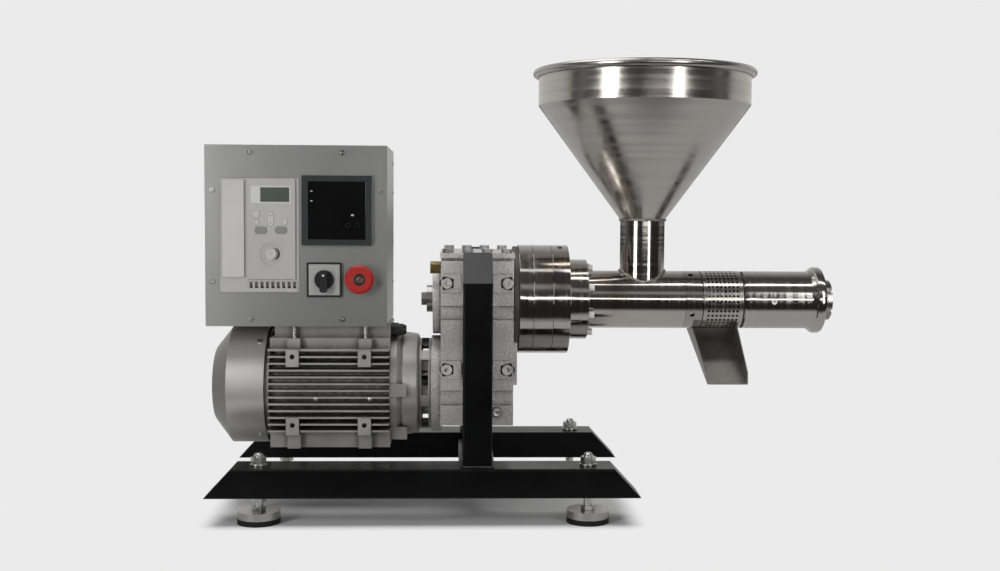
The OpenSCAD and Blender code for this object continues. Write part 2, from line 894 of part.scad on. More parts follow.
module coupling_spider() color("#a52a1e") {
    side_view(spider_x + jaw_play, 0, motor_z) difference() {
        tube(hub_r, spider_bore_r, jaw_l - 2 * jaw_play);
        translate([0, 0, -over]) ring_of(2 * jaws)
            jaw(spider_gap_share, jaw_l + 2 * over, hub_r + over, jaw_r - jaw_play);
    }
}

// Gear case

// Places of the six bearing seats, as [y, z, bearing]
seats = [[0, press_z, big_bearing], [lay_y, lay_z, small_bearing], [0, motor_z, small_bearing]];
left_seat = case_x + case_wall + boss_in;
right_seat = case_x + case_l - case_wall - boss_in;

module gear_case() color("#a3a5a6") {
    inner_h = case_top - case_bottom;
    difference() {
        union() {
            translate([case_x, -case_face + face_step, case_bottom])
                cube([case_l, case_w - 2 * face_step, inner_h]);
            case_panels();
            along_x(case_x - input_flange_t, 0, motor_z)
                cylinder(r = input_flange_r, h = input_flange_t + over);
            along_x(case_x - end_seat_t, 0, press_z) cylinder(r = end_cover_r + over, h = end_seat_t + over);
            along_x(case_x + case_l - over, 0, press_z) cylinder(r = output_boss_r, h = boss_t + over);
            for (side = [-1, 1])
                translate([case_x + case_l - over, side > 0 ? case_face - lug_w : -case_face,
                    case_bottom + lug_z[0]])
                    cube([lug_l + over, lug_w, lug_z[1] - lug_z[0]]);
        }
        difference() {
            translate([case_x + case_wall, -case_face + case_wall, case_bottom + case_wall])
                cube([case_l - 2 * case_wall, case_w - 2 * case_wall, inner_h]);
            for (s = seats) {
                along_x(case_x, s[0], s[1]) cylinder(r = s[2][1] + boss_wall, h = case_wall + boss_in);
                along_x(right_seat, s[0], s[1]) cylinder(r = s[2][1] + boss_wall, h = case_wall + boss_in);
            }
        }
        for (s = seats) {
            along_x(left_seat - s[2][2] - seam, s[0], s[1])
                cylinder(r = s[2][1] + seat, h = s[2][2] + seam + over);
            along_x(right_seat - over, s[0], s[1]) cylinder(r = s[2][1] + seat, h = s[2][2] + seam + over);
        }
        along_x(case_x - end_seat_t - over, 0, press_z)
            cylinder(r = big_bearing[1] - boss_wall, h = case_wall + end_seat_t);
        along_x(case_x + case_l - case_wall, 0, press_z)
            cylinder(r = big_bearing[1] - boss_wall / 2, h = case_wall + boss_t + over);
        along_x(case_x - input_flange_t - over, 0, motor_z)
            cylinder(r = lantern_r[0] - boss_wall, h = input_flange_t - end_seat_t + over);
        along_x(case_x - input_flange_t, 0, motor_z)
            cylinder(r = small_bearing[1] - boss_wall, h = input_flange_t + case_wall);
        case_bolt_places() translate([0, 0, -case_pocket_depth])
            cylinder(r = case_pocket_r, h = case_pocket_depth + over);
        case_bolt_places() translate([0, 0, -hex_thread_l]) cylinder(r = hex_thread_r + seat, h = hex_thread_l);
        case_plug_holes();
        cover_bolt_places() translate([0, 0, -cover_t - hex_thread_l])
            cylinder(r = hex_thread_r + seat, h = hex_thread_l + cover_t);
    }
}

module case_panels() {
    for (side = [-1, 1], zone = panel_zones)
        translate([case_x, side > 0 ? case_face - face_step - over : -case_face, case_bottom + zone[0]])
            cube([case_l, face_step + over, zone[1] - zone[0]]);
    for (side = [-1, 1], z = case_bolt_z, x = [0, case_l - 2 * case_bolt_in - panel_edge])
        translate([case_x + x, side > 0 ? case_face - face_step - over : -case_face,
            case_bottom + z - case_pocket_r - panel_edge / 2])
            cube([2 * case_bolt_in + panel_edge, face_step + over, 2 * case_pocket_r + panel_edge]);
}

// The four side bolts on each face, with +Z of the child pointing out of the case
module case_bolt_places() {
    for (side = [-1, 1], x = [case_bolt_in, case_l - case_bolt_in], z = case_bolt_z)
        translate([case_x + x, side * case_face, case_bottom + z]) rotate([-side * 90, 0, 0]) children();
}

module cover_bolt_places() {
    first = (case_l - (cover_bolts - 1) * cover_bolt_pitch) / 2;
    for (side = [-1, 1], i = [0 : cover_bolts - 1])
        translate([case_x + first + i * cover_bolt_pitch, side * (case_face - cover_bolt_inset / 2 - face_step / 2),
            case_top + cover_t])
            children();
}

module case_plug_holes() {
    along_x(case_x - over, -plug_y, case_top - plug_drop - plug_r)
        cylinder(r = plug_thread_r + seat, h = plug_l + over);
    translate([case_x + level_plug[0], -case_face + plug_l, case_bottom + level_plug[1]])
        rotate([90, 0, 0]) cylinder(r = plug_thread_r + seat, h = plug_l + over);
}

module top_cover() color("#9da0a1") {
    difference() {
        translate([case_x - cover_lip, -case_face + cover_lip, case_top])
            cube([case_l + 2 * cover_lip, case_w - 2 * cover_lip, cover_t]);
        cover_bolt_places() translate([0, 0, -cover_t - over])
            cylinder(r = hex_thread_r + hole_play, h = cover_t + 2 * over);
    }
}

module end_cover() color("#8c8e90") {
    along_x(case_x - end_seat_t - end_cover_t, 0, press_z) difference() {
        cylinder(r = end_cover_r, h = end_cover_t);
        translate([0, 0, -over]) cylinder(r = shaft_end_r + 2 * hole_play, h = end_cover_t + 2 * over);
        translate([0, 0, end_cover_t - seal_t])
            cylinder(r = big_bearing[1] - boss_wall, h = seal_t + over);
    }
}

module oil_plugs() color("#b89b4e") {
    along_x(case_x - end_seat_t - plug_l, -plug_y, case_top - plug_drop - plug_r) {
        cylinder(r = plug_r, h = plug_l / 2);
        translate([0, 0, plug_l / 2]) hex(plug_r, plug_l / 2 + end_seat_t);
        cylinder(r = plug_thread_r, h = 2 * plug_l);
    }
    translate([case_x + level_plug[0], -case_face, case_bottom + level_plug[1]]) rotate([90, 0, 0]) {
        cylinder(r = level_plug_r, h = level_plug_h);
        translate([0, 0, -plug_l]) cylinder(r = plug_thread_r, h = plug_l + over);
    }
}

// Bearings and seals

module ball_bearing(b) {
    groove = (b[1] - b[0]) / 3;
    difference() {
        tube(b[1], b[0] + run, b[2]);
        for (z = [-over, b[2] - over / 2])
            translate([0, 0, z]) tube(b[1] - groove / 2, b[0] + groove / 2, over * 3 / 2);
    }
}

module bearings() color("#b9bbbd") {
    for (s = seats) {
        along_x(left_seat - s[2][2], s[0], s[1]) ball_bearing(s[2]);
        along_x(right_seat, s[0], s[1]) ball_bearing(s[2]);
    }
    for (x = motor_bearing_x) along_x(x, 0, motor_z) ball_bearing(motor_bearing);
    along_x(plate_x[1] + thrust_depth, 0, press_z)
        tube(thrust_ring[1], thrust_ring[0] + run, thrust_bearing_l);
}

module seal(shaft, outer) {
    tube(outer - seat, shaft + run, seal_t - seam);
}

module shaft_seals() color("#2a2420") {
    along_x(case_x - end_seat_t - seal_t + seam, 0, press_z)
        seal(shaft_end_r, big_bearing[1] - boss_wall);
    along_x(left_seat - small_bearing[2] - seal_t, 0, motor_z)
        seal(small_bearing[0], small_bearing[1] - boss_wall);
    along_x(adapter_x, 0, press_z) seal(big_bearing[0], plate_bore_r);
}

// Shafts and gears

module input_pinion() color("#9a9c9e") {
    turn = to_input + 180 + 180 / input_teeth;
    x0 = spider_x + jaw_l;
    side_view(x0, 0, motor_z) cylinder(r = small_bearing[0], h = right_seat + small_bearing[2] - x0);
    side_view(case_x + gear_1_x - gear_side, 0, motor_z)
        spur_gear(module_1, input_teeth, gear_1_t + 2 * gear_side, turn);
}

module intermediate_shaft() color("#97999b") {
    hub_x = case_x + gear_1_x;
    x0 = left_seat - small_bearing[2];
    side_view(x0, lay_y, lay_z) cylinder(r = small_bearing[0], h = right_seat + small_bearing[2] - x0);
    side_view(left_seat + seam, lay_y, lay_z) cylinder(r = lay_shaft_r, h = right_seat - left_seat - 2 * seam);
    side_view(hub_x, lay_y, lay_z) difference() {
        spur_gear(module_1, lay_teeth, gear_1_t, to_input);
        for (z = [-over, gear_1_t * (1 - gear_web_share)])
            translate([0, 0, z]) tube(module_1 * lay_teeth / 2 - 3 * module_1, gear_hub_r,
                gear_1_t * gear_web_share + over);
    }
    side_view(case_x + gear_2_x - gear_side, lay_y, lay_z)
        spur_gear(module_2, pinion_teeth, gear_2_t + 2 * gear_side, to_output);
}

module output_gear() color("#9fa1a3") {
    rim_in = module_2 * output_teeth / 2 - 3 * module_2;
    side_view(case_x + gear_2_x, 0, press_z) difference() {
        spur_gear(module_2, output_teeth, gear_2_t, to_output + 180 + 180 / output_teeth);
        for (z = [-over, gear_2_t * (1 - gear_web_share)])
            translate([0, 0, z]) tube(rim_in, gear_boss_r, gear_2_t * gear_web_share + over);
        translate([0, 0, -over]) cylinder(r = gear_seat_r + seat, h = gear_2_t + 2 * over);
        ring_of(web_holes) translate([(rim_in + gear_boss_r) / 2, 0, -over])
            cylinder(r = web_hole_r, h = gear_2_t + 2 * over);
    }
}

module output_shaft() color("#8d8f91") {
    left_end = case_x - end_seat_t - end_cover_t - over;
    right_end = plate_x[0] + plate_t[0] - 2 * over;
    bearing_x = left_seat - big_bearing[2];
    difference() {
        union() {
            along_x(left_end, 0, press_z) cylinder(r = shaft_end_r, h = bearing_x - left_end + over);
            along_x(bearing_x, 0, press_z) cylinder(r = big_bearing[0], h = right_end - bearing_x);
            along_x(case_x + gear_2_x - gear_side, 0, press_z)
                cylinder(r = gear_seat_r, h = gear_2_t + 2 * gear_side);
        }
        along_x(left_end - over, 0, press_z) cylinder(r = end_bolt_r + seat, h = end_bolt_l + over);
        side_view(right_end - socket_hex_l, 0, press_z) hex(socket_hex_r + seat, socket_hex_l + over);
    }
    side_view(left_end - end_disc_t, 0, press_z) tube(end_disc_r, end_bolt_r + seat, end_disc_t);
    side_view(left_end - end_disc_t - end_hex_h, 0, press_z) {
        hex(end_hex_r, end_hex_h);
        cylinder(r = end_bolt_r, h = end_hex_h + end_disc_t + end_bolt_l - over);
    }
}

// Press

thrust_bearing_l = plate_t[1] - thrust_depth - collar_t - 2 * seam;

module adapter_ring() color("#3c3d3e") {
    along_x(adapter_x, 0, press_z) tube(adapter_r, plate_bore_r, adapter_t - seam);
}

module thrust_plates() color("#8f8b84") {
    along_x(plate_x[0], 0, press_z) tube(plate_r, plate_bore_r, plate_t[0] - seam);
    along_x(plate_x[1], 0, press_z) difference() {
        cylinder(r = plate_r, h = plate_t[1] - seam);
        translate([0, 0, -over]) cylinder(r = thrust_ring[0] + over, h = plate_t[1]);
        translate([0, 0, thrust_depth]) cylinder(r = thrust_ring[1] + seat, h = plate_t[1]);
    }
    along_x(plate_x[2], 0, press_z) tube(plate_r, flange_bore_r, plate_t[2] - seam);
}

module flange_screw_places() {
    side_view(barrel_x, 0, press_z) ring_of(flange_screws, 90 / flange_screws * 2)
        translate([flange_screw_pcr, 0, 0]) children();
}

module feed_barrel() color("#a9a7a2") {
    free_l = barrel_l + ring_l / 2;
    difference() {
        union() {
            along_x(flange_at_x, 0, press_z) cylinder(r = flange_r, h = flange_t);
            along_x(flange_at_x, 0, press_z) cylinder(r = barrel_r, h = flange_t + barrel_l - seam);
            along_x(flange_at_x, 0, press_z) cylinder(r = thread_r, h = flange_t + free_l);
        }
        along_x(flange_at_x - over, 0, press_z) cylinder(r = flange_bore_r, h = flange_t / 2 + 2 * over);
        along_x(flange_at_x + flange_t / 2, 0, press_z) cylinder(r = bore_r, h = flange_t + free_l);
        translate([spout_x, 0, press_z]) cylinder(r = feed_hole_r, h = 2 * barrel_r);
        flange_screw_places() translate([0, 0, -flange_t / 2])
            cylinder(r = flange_thread_r + seat, h = flange_t);
    }
}

module locking_ring() color("#a5a39e") {
    along_x(ring_x, 0, press_z) difference() {
        tube(barrel_r, thread_r + ring_play, ring_l - seam);
        ring_of(ring_holes, ring_hole_turn) translate([0, 0, ring_l * 3 / 8]) rotate([0, -90, 0])
            cylinder(r = ring_hole_r, h = barrel_r + over);
    }
}

// The strainer's wall in cross-section, plain or with a ring of drain slots
module strainer_wall(h, slots) {
    linear_extrude(h) difference() {
        circle(r = barrel_r, $fn = 2 * strainer_rows);
        circle(r = bore_r, $fn = 2 * strainer_rows);
        if (slots) for (i = [0 : strainer_rows - 1])
            rotate((i + 0.5) * 360 / strainer_rows) translate([bore_r / 2, -strainer_hole_r])
                square([barrel_r, 2 * strainer_hole_r]);
    }
}

module strainer() color("#a7a5a0") {
    lip = ring_l / 2 - seam;
    hole = 2 * strainer_hole_r;
    first = strainer_first - strainer_hole_r;
    last = first + (strainer_cols - 1) * strainer_pitch + hole;
    along_x(strainer_x, 0, press_z) {
        translate([0, 0, -lip]) tube(thread_r, bore_r, lip + over, $fn = 2 * strainer_rows);
        strainer_wall(first, false);
        translate([0, 0, last]) strainer_wall(strainer_l - last, false);
        for (j = [0 : strainer_cols - 1])
            translate([0, 0, first + j * strainer_pitch]) strainer_wall(hole, true);
        for (j = [0 : strainer_cols - 2])
            translate([0, 0, first + j * strainer_pitch + hole]) strainer_wall(strainer_pitch - hole, false);
    }
}

module press_head() color("#adaba6") {
    inner_l = head_l + rim_l - head_end_wall;
    edge = rim_l / 4;
    rim = [
        [bore_r - over, head_l - edge], [barrel_r, head_l - 2 * edge], [rim_r - edge, head_l],
        [rim_r - edge / 3, head_l + edge / 3], [rim_r, head_l + edge],
        [rim_r, head_l + rim_l - edge], [rim_r - edge / 3, head_l + rim_l - edge / 3],
        [rim_r - edge, head_l + rim_l], [bore_r - over, head_l + rim_l],
    ];
    along_x(head_x, 0, press_z) difference() {
        union() {
            translate([0, 0, -neck_l]) cylinder(r = neck_r, h = neck_l + over);
            cylinder(r = barrel_r, h = head_l);
            cylinder(r = bore_r, h = head_l + rim_l);
            rotate_extrude() polygon(rim);
        }
        translate([0, 0, -neck_l - over]) cylinder(r = bore_r, h = neck_l + inner_l + over);
        cylinder(r = nozzle_thread_r + seat, h = head_l + rim_l + over);
        for (z = head_line) translate([0, 0, z])
            tube(barrel_r + over, barrel_r - line_depth, line_w);
        translate([0, 0, set_screw_at]) rotate([90, 0, 0]) translate([0, 0, barrel_r - set_screw_depth])
            cylinder(r = set_screw_r, h = set_screw_depth + over);
    }
}

module nozzle() color("#8c8a86") {
    thread_l = head_end_wall - seam;
    along_x(nozzle_x, 0, press_z) difference() {
        union() {
            translate([0, 0, -thread_l]) cylinder(r = nozzle_thread_r, h = thread_l + over);
            cylinder(r = nozzle_r, h = nozzle_l);
        }
        translate([0, 0, -thread_l - over]) cylinder(r = outlet_r, h = thread_l + nozzle_l + 2 * over);
        ring_of(nozzle_slots) translate([nozzle_r - nozzle_slot[1], -nozzle_slot[0] / 2, nozzle_l / 3])
            cube([nozzle_slot[1] + over, nozzle_slot[0], nozzle_l]);
    }
}

// One turn of the flight is a band that winds round the shank
module flight(length) {
    half = 180 * flight_t / screw_pitch;
    outline = [
        for (i = [-2 : 2]) [screw_r * cos(half * i / 2), screw_r * sin(half * i / 2)],
        [screw_root_r[0] * cos(half) / 2, screw_root_r[0] * sin(half) / 2],
        [screw_root_r[0] * cos(half) / 2, -screw_root_r[0] * sin(half) / 2],
    ];
    turns = length / screw_pitch;
    linear_extrude(length, twist = -360 * turns, slices = ceil(turns * flight_steps),
        segments = len(outline), convexity = 8)
        polygon(outline);
}

module press_screw() color("#9b9994") {
    tail_x = plate_x[0] + plate_t[0] - 2 * over;
    collar_x = plate_x[2] - collar_t - 2 * seam;
    flight_x = flange_at_x + flange_t / 2 + seam;
    tip_x = rim_x - screw_tip_l;
    flight_l = tip_x - flight_x - screw_tip_l;
    body_l = tip_x - barrel_x;
    side_view(tail_x - socket_hex_l + seam, 0, press_z) hex(socket_hex_r, socket_hex_l + over);
    side_view(tail_x + seam, 0, press_z) cylinder(r = shank_r, h = flight_x - tail_x);
    side_view(collar_x, 0, press_z) cylinder(r = collar_r, h = collar_t);
    side_view(flight_x, 0, press_z) {
        cylinder(r = screw_root_r[0], h = body_l / 3 + over);
        translate([0, 0, body_l / 3]) cylinder(r1 = screw_root_r[0], r2 = screw_root_r[1], h = body_l / 3);
        translate([0, 0, body_l * 2 / 3]) cylinder(r1 = screw_root_r[1], r2 = screw_root_r[2], h = body_l / 3);
        translate([0, 0, body_l - over]) cylinder(r1 = screw_root_r[2], r2 = outlet_r, h = screw_tip_l);
        flight(flight_l);
    }
}

// Hopper and chute

module hopper() color("#b3aea6") {
    t = sheet_t;
    band_z = cone_z + cone_h;
    top_z = band_z + band_h;
    outline = [
        [spout_r, cone_z], [band_r, band_z], [band_r, top_z],
        [band_r - t, top_z], [band_r - t, band_z + t / 3], [spout_r - t, cone_z + t / 3],
        [spout_r - t, cone_z],
    ];
    translate([spout_x, 0, press_z]) rotate_extrude($fn = 128) {
        polygon(outline);
        translate([band_r + bead_r / 2, top_z]) circle(r = bead_r, $fn = 32);
        translate([spout_r - t, cone_z]) square([t + neck_weld, neck_weld]);
    }
}

module spout_tube() color("#a5a39e") {
    difference() {
        translate([spout_x, 0, press_z]) tube(spout_r, spout_r - sheet_t, cone_z - seat);
        along_x(spout_x - 2 * spout_r, 0, press_z) cylinder(r = barrel_r + seat, h = 4 * spout_r);
    }
}

// A cheek of the chute in the side view: it hugs the barrel from below and behind, and leans with the back plate.
// Its heights are stretched to make up for its tilt, and start at the top of the back plate.
module chute_cheek(tilt) {
    drop = barrel_r + chute_drop;
    top = 2 * chute_lip / 3 - barrel_r;
    hug_r = barrel_r + 2 * seam;
    open_deg = acos(-top / hug_r);
    steps = 6;
    front_steps = 2;
    outline = [
        [chute_back_y, 0], [chute_mouth_y, -chute_h], [chute_mouth_y - chute_lip / 2, chute_lip - chute_h],
        for (i = [-front_steps : steps]) [
            hug_r * sin(i * open_deg / steps),
            drop - hug_r * cos(i * open_deg / steps)
        ],
        [chute_back_y, drop + top],
    ];
    linear_extrude(sheet_t) polygon([for (p = outline) [p[0], p[1] / cos(tilt)]]);
}

module oil_chute() color("#5d5b57") {
    top_z = press_z - barrel_r - chute_drop;
    lean = atan2(chute_back_y - chute_mouth_y, chute_h);
    slope_l = chute_h / cos(lean);
    x0 = ring_x + chute_at;
    mouth_x = [chute_left_run, chute_left_run + chute_mouth_w];
    half = sheet_t / 2;
    translate([x0, chute_back_y, top_z]) rotate([90 - lean, 0, 0]) translate([0, 0, -half])
        linear_extrude(sheet_t) polygon([
            [half, half], [chute_top_w - half, half],
            [mouth_x[1] - half, -slope_l - half], [mouth_x[0] + half, -slope_l - half],
        ]);
    for (wall = [[0, chute_left_run], [chute_top_w - sheet_t, mouth_x[1] - chute_top_w]]) {
        tilt = atan2(wall[1], chute_h);
        translate([x0 + wall[0], 0, top_z]) rotate([0, -tilt, 0]) rotate([90, 0, 90]) chute_cheek(tilt);
    }
}

// Cabinet and controls

module cabinet_box() color("#8a8c8e") {
    depth = cab_d - cab_t;
    difference() {
        translate([cab_x, cab_y + cab_t, cab_z]) cube([cab_w, depth, cab_w]);
        translate([cab_x + cab_t, cab_y + 2 * cab_t, cab_z + cab_t])
            cube([cab_w - 2 * cab_t, depth - 2 * cab_t, cab_w - 2 * cab_t]);
        translate([cab_x + cab_lip, cab_y, cab_z + cab_lip])
            cube([cab_w - 2 * cab_lip, 3 * cab_t, cab_w - 2 * cab_lip]);
        cabinet_screw_places() translate([0, 0, -2 * cab_t - over])
            cylinder(r = cab_screw_shank_r + seat, h = 2 * cab_t + over);
    }
}

// Eight cover screws, in the front view, with the child's +Z pointing forward
module cabinet_screw_places() {
    far = cab_w - cab_screw_in;
    corner = cab_screw_corner;
    for (a = [corner, cab_w - corner], b = [cab_screw_in, far]) {
        on_cabinet([a, b]) children();
        on_cabinet([b, a]) children();
    }
}

module cabinet_cover() color("#919395") {
    difference() {
        translate([cab_x, cab_y, cab_z]) cube([cab_w, cab_t, cab_w]);
        on_cabinet(drive_window, over + cab_t)
            cube([drive_window[2], drive_window[3], cab_t + 2 * over]);
        on_cabinet(ctl_mid, over + cab_t) linear_extrude(cab_t + 2 * over)
            square(ctl_body_w + 2 * hole_play, center = true);
        for (m = [switch_mid, estop_mid])
            on_cabinet(m, over + cab_t) cylinder(r = panel_hole_r, h = cab_t + 2 * over);
        cabinet_screw_places() translate([0, 0, -cab_t - over])
            cylinder(r = cab_screw_shank_r + hole_play, h = cab_t + 2 * over);
    }
}

module drive_block(place, proud, depth) {
    on_cabinet(place, depth) cube([place[2], place[3], depth + proud]);
}

module drive_body() color("#b4b4b0") {
    gap = hole_play;
    shell = [
        drive_window[0] + gap, drive_window[1] + gap,
        drive_window[2] - 2 * gap, drive_window[3] - 2 * gap,
    ];
    difference() {
        union() {
            drive_block(shell, 0, drive_depth);
            drive_block(drive_side, side_proud, cab_t);
            drive_block(drive_strip, strip_proud, cab_t);
            drive_block(drive_face, drive_proud, cab_t);
        }
        on_cabinet(lcd, window_t - drive_proud) cube([lcd[2], lcd[3], drive_proud]);
        key_pockets();
        on_cabinet(dial_at, dial_depth - drive_proud) cylinder(r = dial_r, h = dial_depth + over);
        on_cabinet(dial_at, pot_stem_l) cylinder(r = pot_stem_r + run, h = pot_stem_l + drive_proud + over);
        for (i = [0 : terminals - 1]) {
            step = drive_strip[2] / terminals;
            place = [drive_strip[0] + (i + 0.5) * step - terminal_pit[0] / 2, drive_strip[1] + terminal_pit[2]];
            on_cabinet(place, terminal_pit[2] - strip_proud) cube([terminal_pit[0], terminal_pit[1], drive_proud * 3]);
        }
    }
}

// Keys of the drive: each is drawn in its own place with its own outline
key_floor = key_body + key_travel + 2 * key_play;

module square_cap(grow) round_mid(key_square + 2 * grow, key_square + 2 * grow, over);
module round_cap(grow) circle(r = key_round_r + grow);
module oval_cap(grow) round_mid(key_oval[0] + 2 * grow, key_oval[1] + 2 * grow, key_oval[1] * oval_share);
module arrow_cap(grow) round_mid(arrow_size[0] + 2 * grow, arrow_size[1] + 2 * grow, arrow_size[0] * arrow_share);

module key_pocket(place) {
    on_cabinet(place, key_floor - drive_proud) linear_extrude(key_floor + over) children();
}

module key_pockets() {
    key_pocket(menu_at) square_cap(key_play);
    key_pocket(local_at) round_cap(key_play);
    key_pocket(enter_at) round_cap(key_play);
    key_pocket(start_at) oval_cap(key_play);
    key_pocket(stop_at) oval_cap(key_play);
    key_pocket(arrow_at) arrow_cap(key_play);
}

module key(place) {
    on_cabinet(place, key_body - drive_proud) linear_extrude(key_body + key_proud) children();
}

module menu_key() color("#d8d8d4") key(menu_at) square_cap(0);
module local_key() color("#d8d8d4") key(local_at) round_cap(0);
module enter_key() color("#d8d8d4") key(enter_at) round_cap(0);
module start_key() color("#7d8a86") key(start_at) oval_cap(0);
module stop_key() color("#7d8a86") key(stop_at) oval_cap(0);
module arrow_key() color("#d8d8d4") key(arrow_at) arrow_cap(0);

module pot_knob() color("#c9c9c5") {
    on_cabinet(dial_at, seam - drive_proud) {
        difference() {
            cylinder(r = pot_r, h = pot_h);
            translate([-over / 2, 0, pot_h - over / 2]) cube([over, pot_r + over, over]);
        }
        translate([0, 0, -pot_stem_l - drive_proud + 2 * seam])
            cylinder(r = pot_stem_r, h = pot_stem_l + drive_proud);
    }
}

module display_windows() color("#2b3a40") {
    on_cabinet([lcd[0] + seat, lcd[1] + seat], window_t - drive_proud)
        cube([lcd[2] - 2 * seat, lcd[3] - 2 * seat, window_t]);
    on_cabinet(ctl_mid, window_t - ctl_proud) linear_extrude(window_t)
        square(ctl_glass_w - 2 * seat, center = true);
}

module controller_body() color("#2c2e30") {
    difference() {
        union() {
            on_cabinet(ctl_mid) linear_extrude(ctl_proud) round_mid(ctl_w, ctl_w, 2 * over);
            on_cabinet(ctl_mid, ctl_depth) linear_extrude(ctl_depth + over) square(ctl_body_w, center = true);
        }
        on_cabinet(ctl_mid, window_t - ctl_proud) linear_extrude(window_t + over)
            square(ctl_glass_w, center = true);
    }
}

module switch_plate() color("#26272a") {
    on_cabinet(switch_mid) difference() {
        linear_extrude(switch_frame_t) round_mid(switch_frame_w, switch_frame_w, 2 * switch_plate_t);
        translate([0, 0, switch_frame_t - switch_plate_t])
            linear_extrude(2 * switch_plate_t) square(switch_plate_w, center = true);
        translate([0, 0, -over]) cylinder(r = switch_hole_r, h = switch_frame_t + 2 * over);
    }
}

module switch_knob() color("#141517") {
    base = seam - switch_frame_t + switch_plate_t;
    on_cabinet(switch_mid, base - 2 * seam) {
        cylinder(r = knob_r, h = knob_t);
        linear_extrude(grip_h) translate([0, -grip_l / 2 + knob_r]) round_mid(grip_w, grip_l, grip_w / 3);
        translate([0, 0, -knob_stem_l]) cylinder(r = knob_stem_r, h = knob_stem_l + over);
    }
}

module estop_button() color("#b3242a") {
    lift = estop_collar_t + estop_travel + seam;
    edge = [
        [0, 0], [estop_r - estop_edge, 0], [estop_r, estop_edge], [estop_r, estop_t - estop_edge],
        [estop_r - estop_edge, estop_t], [0, estop_t],
    ];
    on_cabinet(estop_mid) {
        translate([0, 0, lift]) rotate_extrude() polygon(edge);
        translate([0, 0, -estop_stem_l]) cylinder(r = estop_stem_r, h = estop_stem_l + lift + over);
    }
}

module switch_bodies() color("#3a3c3f") {
    on_cabinet(switch_mid, cab_t) translate([0, 0, -block_l]) difference() {
        linear_extrude(block_l) square(block_w, center = true);
        translate([0, 0, block_l - knob_stem_l]) cylinder(r = knob_stem_r + run, h = knob_stem_l + over);
    }
    on_cabinet(estop_mid, cab_t) translate([0, 0, -block_l]) difference() {
        union() {
            linear_extrude(block_l) square(block_w, center = true);
            cylinder(r = panel_hole_r - hole_play, h = block_l + cab_t + over);
            translate([0, 0, block_l + cab_t]) cylinder(r = estop_collar_r, h = estop_collar_t);
        }
        translate([0, 0, block_l - estop_stem_l - estop_travel - 2 * over])
            cylinder(r = estop_stem_r + run, h = block_l + estop_collar_t);
    }
}

module cable_gland() color("#222325") {
    along_x(shield_x, gland_y, cab_z + gland_z) difference() {
        union() {
            cylinder(r = gland_r, h = gland_l / 2, $fn = 6);
            cylinder(r = gland_body_r, h = gland_l * 3 / 4);
            translate([0, 0, gland_l * 3 / 4]) cylinder(r1 = gland_body_r, r2 = gland_tip_r, h = gland_l / 4);
        }
        translate([0, 0, -over]) cylinder(r = gland_bore_r, h = gland_l + 2 * over);
    }
}

// Fasteners

module hex_bolts() color("#a7a9ab") {
    cover_bolt_places() {
        hex(hex_head_r, hex_head_h);
        translate([0, 0, -cover_t - hex_thread_l + over]) cylinder(r = hex_thread_r, h = cover_t + hex_thread_l);
    }
    foot_z = motor_z + end_fin_reach[0];
    for (x = [-pad_hole_dx / 2, pad_hole_dx / 2], side = [-1, 1])
        translate([pad_mid + x, side * end_pad_y, foot_z]) cylinder(r = stud_bolt_r, h = cab_z - foot_z);
}

module pan_screw() {
    cylinder(r = cab_screw_r, h = cab_screw_h);
    translate([0, 0, -cab_screw_shank_l]) cylinder(r = cab_screw_shank_r, h = cab_screw_shank_l + over / 2);
}

module pan_screws() color("#8d8f92") {
    cabinet_screw_places() pan_screw();
    cowl_screw_places() pan_screw();
}

module socket_screws() color("#a7a9ab") {
    case_bolt_places() translate([0, 0, -case_pocket_depth])
        socket_screw(socket_head_r, socket_head_h, hex_thread_r, hex_thread_l - case_pocket_depth - seam);
    flange_screw_places()
        socket_screw(flange_screw_r, flange_screw_h, flange_thread_r, flange_t / 2 - over);
    along_x(head_x + set_screw_at, 0, press_z) rotate([90, 0, 0])
        translate([0, 0, barrel_r - set_screw_depth]) tube(set_screw_r - seat, set_screw_r / 3, set_screw_depth);
}

base_rails();
uprights();
foot_nuts();
foot_discs();
foot_rubbers();
foot_stud(0);  // foot_stud_1
foot_stud(1);  // foot_stud_2
foot_stud(2);  // foot_stud_3
foot_stud(3);  // foot_stud_4
motor_frame();
motor_stator();
motor_rotor();
motor_fan();
fan_cowl();
motor_front_shield();
motor_rear_shield();
hex_bolts();
pan_screws();
socket_screws();
bearings();
shaft_seals();
coupling_hubs();
coupling_spider();
lantern();
gear_case();
top_cover();
oil_plugs();
end_cover();
input_pinion();
intermediate_shaft();
output_gear();
output_shaft();
adapter_ring();
thrust_plates();
feed_barrel();
press_screw();
locking_ring();
strainer();
press_head();
nozzle();
hopper();
spout_tube();
oil_chute();
cabinet_box();
cabinet_cover();
drive_body();
display_windows();
menu_key();
local_key();
enter_key();
start_key();
stop_key();
arrow_key();
pot_knob();
controller_body();
switch_plate();
switch_knob();
estop_button();
switch_bodies();
cable_gland();
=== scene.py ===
# Continuous oil press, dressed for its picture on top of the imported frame, in metres.
# The sections follow the machine as it is put together, from the base to the panel.
import json
import random
from math import atan2, cos, pi, radians, sin, sqrt, tau

import bmesh
import bpy
from mathutils import Matrix, Vector

